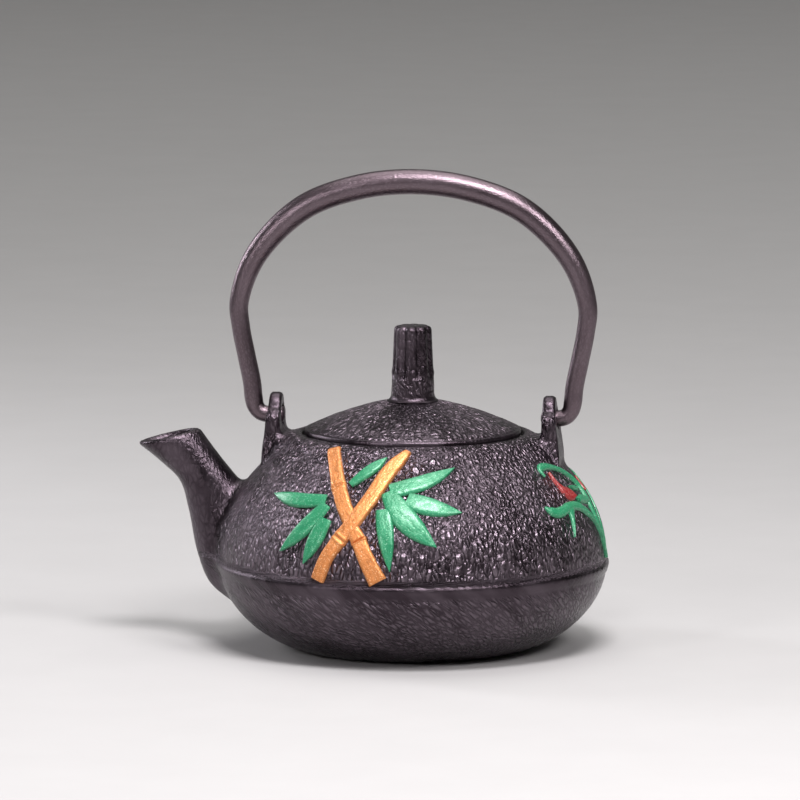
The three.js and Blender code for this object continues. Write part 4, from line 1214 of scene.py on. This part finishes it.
def grown(name, tree, values, body, material, replaces):
    """Runs a tree on an empty mesh and keeps its result as a plain piece."""
    carrier = bpy.data.objects.new(name, bpy.data.meshes.new(name))
    bpy.context.scene.collection.objects.link(carrier)
    modifier = carrier.modifiers.new("Grow", "NODES")
    modifier.node_group = tree
    sockets = {item.name: item.identifier for item in tree.interface.items_tree
               if item.item_type == "SOCKET" and item.in_out == "INPUT"}
    for label, value in values.items():
        modifier[sockets[label]] = value
    made = bpy.data.meshes.new_from_object(carrier.evaluated_get(bpy.context.evaluated_depsgraph_get()))
    carrier.modifiers.remove(modifier)
    bpy.data.objects.remove(carrier)
    made.name = name
    made.materials.clear()
    made.materials.append(material)
    made.shade_smooth()
    piece = bpy.data.objects.new(name, made)
    bpy.context.scene.collection.objects.link(piece)
    return settle(piece, body, replaces)


# %% [markdown]
# ### Woven wall
#
# A wire is a line that sways in and out once for every two hoops. Neighbouring wires sway opposite ways,
# so the tree makes two sorts and gives each its own half of the circle of points.

# %% Tree: upright wires and hoops
def upright_wires(tree, size, height, sort):
    line = made_by(tree, "GeometryNodeCurvePrimitiveLine", {
        "Start": vector_of(tree, Z=size["Bottom"]), "End": vector_of(tree, Z=size["Top"])})
    cut = made_by(tree, "GeometryNodeResampleCurve", {
        "Curve": line, "Count": math_node(tree, "MULTIPLY", size["Hoops"], 2.0)})
    phase = math_node(tree, "SUBTRACT", position(tree)[1]["Z"], size["Bottom"])
    phase = math_node(tree, "DIVIDE", phase, height)
    phase = math_node(tree, "MULTIPLY", phase, size["Hoops"])
    phase = math_node(tree, "MULTIPLY", phase, math.pi)
    phase = math_node(tree, "ADD", phase, sort * math.pi)
    wire = waved_wire(tree, cut, phase, (1, 0, 0), size)
    circle = made_by(tree, "GeometryNodeCurvePrimitiveCircle", {
        "Resolution": math_node(tree, "MULTIPLY", size["Wires"], 0.5), "Radius": size["Radius"]})
    turn_by = math_node(tree, "DIVIDE", sort * 2 * math.pi, size["Wires"])
    circle = made_by(tree, "GeometryNodeTransform", {
        "Geometry": circle, "Rotation": vector_of(tree, Z=turn_by)})
    facing = made_by(tree, "FunctionNodeAlignRotationToVector", {"Vector": position(tree)[0]}, axis="X")
    dots = made_by(tree, "GeometryNodeCurveToPoints", {"Curve": circle}, mode="EVALUATED")
    return made_by(tree, "GeometryNodeInstanceOnPoints", {
        "Points": dots, "Instance": wire, "Rotation": facing})


def hoops(tree, size, height, sort):
    circle = made_by(tree, "GeometryNodeCurvePrimitiveCircle", {
        "Resolution": math_node(tree, "MULTIPLY", size["Wires"], 2.0), "Radius": size["Radius"]})
    place, parts = position(tree)
    phase = math_node(tree, "ARCTAN2", parts["Y"], parts["X"])
    phase = math_node(tree, "MULTIPLY", phase, math_node(tree, "MULTIPLY", size["Wires"], 0.5))
    phase = math_node(tree, "ADD", phase, (1 - sort) * math.pi)
    outward = made_by(tree, "ShaderNodeVectorMath", {"Vector": place}, operation="NORMALIZE")
    wire = waved_wire(tree, circle, phase, outward, size)
    pitch = math_node(tree, "DIVIDE", height, size["Hoops"])
    first = math_node(tree, "ADD", size["Bottom"], math_node(tree, "MULTIPLY", pitch, sort + 0.02))
    stride = math_node(tree, "MULTIPLY", pitch, 2.0)
    stack = made_by(tree, "GeometryNodeMeshLine", {
        "Count": math_node(tree, "MULTIPLY", size["Hoops"], 0.5),
        "Start Location": vector_of(tree, Z=first), "Offset": vector_of(tree, Z=stride)}, mode="OFFSET")
    return made_by(tree, "GeometryNodeInstanceOnPoints", {"Points": stack, "Instance": wire})


def woven_wall_tree():
    tree, given, result = new_tree("Woven wall", {
        "Radius": 0.02645, "Bottom": 0.0291, "Top": 0.0535, "Wire": 0.00015, "Sway": 0.00016,
        "Wires": 132, "Hoops": 20})
    size = given.outputs
    height = math_node(tree, "SUBTRACT", size["Top"], size["Bottom"])
    shapes = [make(tree, size, height, sort) for make in (upright_wires, hoops) for sort in (0, 1)]
    return gather(tree, shapes, result)


grown("infuser_woven_wall", woven_wall_tree(), {"Wires": 132, "Hoops": 20}, "infuser", steel,
      ["infuser_wall_mesh"])


# %% [markdown]
# ### Woven floor of the basket
#
# The floor is woven straight. Each wire is as long as the circle is wide at its place, so one unit wire
# is copied along a row of points and stretched, once for each direction.

# %% Tree: woven floor
def woven_floor_tree():
    tree, given, result = new_tree("Woven floor", {
        "Radius": 0.0234, "Height": 0.02755, "Wire": 0.00015, "Lift": 0.00013, "Wires": 39})
    size = given.outputs
    shapes = []
    for direction in (0, 1):
        first, last = (vector_of(tree, Y=math_node(tree, "MULTIPLY", size["Radius"], share))
                       for share in (-0.97, 0.97))
        row = made_by(tree, "GeometryNodeMeshLine", {
            "Start Location": first, "Offset": last, "Count": size["Wires"]}, mode="END_POINTS")
        line = made_by(tree, "GeometryNodeCurvePrimitiveLine", {"Start": (-1, 0, 0), "End": (1, 0, 0)})
        share = math_node(tree, "DIVIDE", position(tree)[1]["Y"], size["Radius"])
        share = math_node(tree, "MULTIPLY", share, share)
        chord = math_node(tree, "SQRT", math_node(tree, "SUBTRACT", 1.0, share))
        chord = math_node(tree, "MULTIPLY", chord, size["Radius"])
        copies = made_by(tree, "GeometryNodeInstanceOnPoints", {
            "Points": row, "Instance": wire_mesh(tree, line, size["Wire"], 6),
            "Scale": vector_of(tree, X=chord, Y=1.0, Z=1.0)})
        lift = math_node(tree, "MULTIPLY", size["Lift"], 1.0 - 2.0 * direction)
        level = math_node(tree, "ADD", size["Height"], lift)
        shapes.append(made_by(tree, "GeometryNodeTransform", {
            "Geometry": copies, "Rotation": (0, 0, direction * math.pi / 2),
            "Translation": vector_of(tree, Z=level)}))
    return gather(tree, shapes, result)


grown("infuser_woven_floor", woven_floor_tree(), {"Wires": 39}, "infuser", steel,
      ["infuser_base_mesh"])

# %% [markdown]
# ## Floor, light and camera
#
# The pot stands in the middle of a wide pale dish, whose floor curves up into a low wall all round, so it
# can be looked at from every side. A large soft lamp hangs overhead. Smaller ones in front and high on
# the right put glints on the lumps of the skin, and one on the left draws the edge of the spout.

# %% Pale dish
def sweep():
    material, tree, shader = new_material("Pale paper")
    place = add_node(tree, "ShaderNodeTexCoord", (-900, 0)).outputs["Object"]
    mottle = noise_node(tree, place, 30, 3.0, 0.6, 0.0, (-700, 0))
    colour = mixed(tree, mottle, (0.42, 0.415, 0.41), (0.45, 0.445, 0.44))
    tree.links.new(colour, shader.inputs["Base Color"])
    shader.inputs["Roughness"].default_value = 0.75
    flat, bend, columns, floor_level = 2.4, 0.8, 96, -0.0001
    line = [(r, 0.0) for r in (0.3, 0.8, 1.6, flat)]
    line += [(flat + bend * math.sin(a), bend - bend * math.cos(a))
             for a in np.linspace(0.1, math.pi / 2, 12)]
    line += [(flat + bend, 2.6)]
    turn = 2 * math.pi * np.arange(columns) / columns
    points = [(r * math.cos(t), r * math.sin(t), z + floor_level) for r, z in line for t in turn]
    points += [(0, 0, floor_level)]
    faces = [[len(points) - 1, j, (j + 1) % columns] for j in range(columns)]
    faces += grid_faces(len(line), columns)[:, ::-1].tolist()
    mesh = bpy.data.meshes.new("paper_sweep")
    mesh.from_pydata(points, [], faces)
    mesh.shade_smooth()
    mesh.materials.append(material)
    paper = bpy.data.objects.new("paper_sweep", mesh)
    bpy.context.scene.collection.objects.link(paper)


sweep()


# %% Lamps
def lamp(name, place, aim, size, power, colour):
    data = bpy.data.lights.new(name, "AREA")
    data.shape = "RECTANGLE"
    data.size, data.size_y = size
    data.energy = power
    data.color = colour
    obj = bpy.data.objects.new(name, data)
    obj.location = place
    obj.rotation_euler = (Vector(aim) - Vector(place)).to_track_quat("-Z", "Y").to_euler()
    bpy.context.scene.collection.objects.link(obj)


WARM, PINK, COOL = (1.0, 0.99, 0.98), (1.0, 0.97, 0.99), (0.96, 0.95, 1.0)
for setting in (
        ("overhead", (0.0, 0.7, 2.5), (0.0, 0.7, 0.0), (2.2, 2.2), 40.0, WARM),
        ("key", (0.12, -0.42, 0.82), (0.0, 0.0, 0.05), (0.30, 0.22), 8.5, PINK),
        ("high_right", (0.50, -0.50, 0.58), (-0.03, 0.0, 0.05), (0.22, 0.22), 3.8, PINK),
        ("front_left", (-0.50, -0.80, 0.42), (0.0, 0.0, 0.05), (0.16, 0.20), 2.2, PINK),
        ("rim_left", (-0.6, 0.25, 0.30), (0, 0, 0.06), (0.12, 0.34), 1.8, COOL)):
    lamp(*setting)
world = bpy.data.worlds.new("Studio")
bpy.context.scene.world = world
world.use_nodes = True
world.node_tree.nodes["Background"].inputs["Color"].default_value = (0.9, 0.9, 0.92, 1)
world.node_tree.nodes["Background"].inputs["Strength"].default_value = 0.10
bpy.context.scene.view_settings.view_transform = "Standard"


# %% Camera
def camera():
    data = bpy.data.cameras.new("camera")
    data.sensor_width = 36
    data.lens = 327.6
    data.clip_end = 20
    obj = bpy.data.objects.new("camera", data)
    azimuth, distance, height = math.radians(6.6), 2.05, 0.3418
    obj.location = (distance * math.sin(azimuth), -distance * math.cos(azimuth), height)
    right = Vector((math.cos(azimuth), math.sin(azimuth), 0))
    aim = Vector((0, 0, height - distance * math.tan(math.radians(7.547)))) - right * 0.00366
    obj.rotation_euler = (aim - obj.location).to_track_quat("-Z", "Y").to_euler()
    bpy.context.scene.collection.objects.link(obj)
    bpy.context.scene.camera = obj


camera()
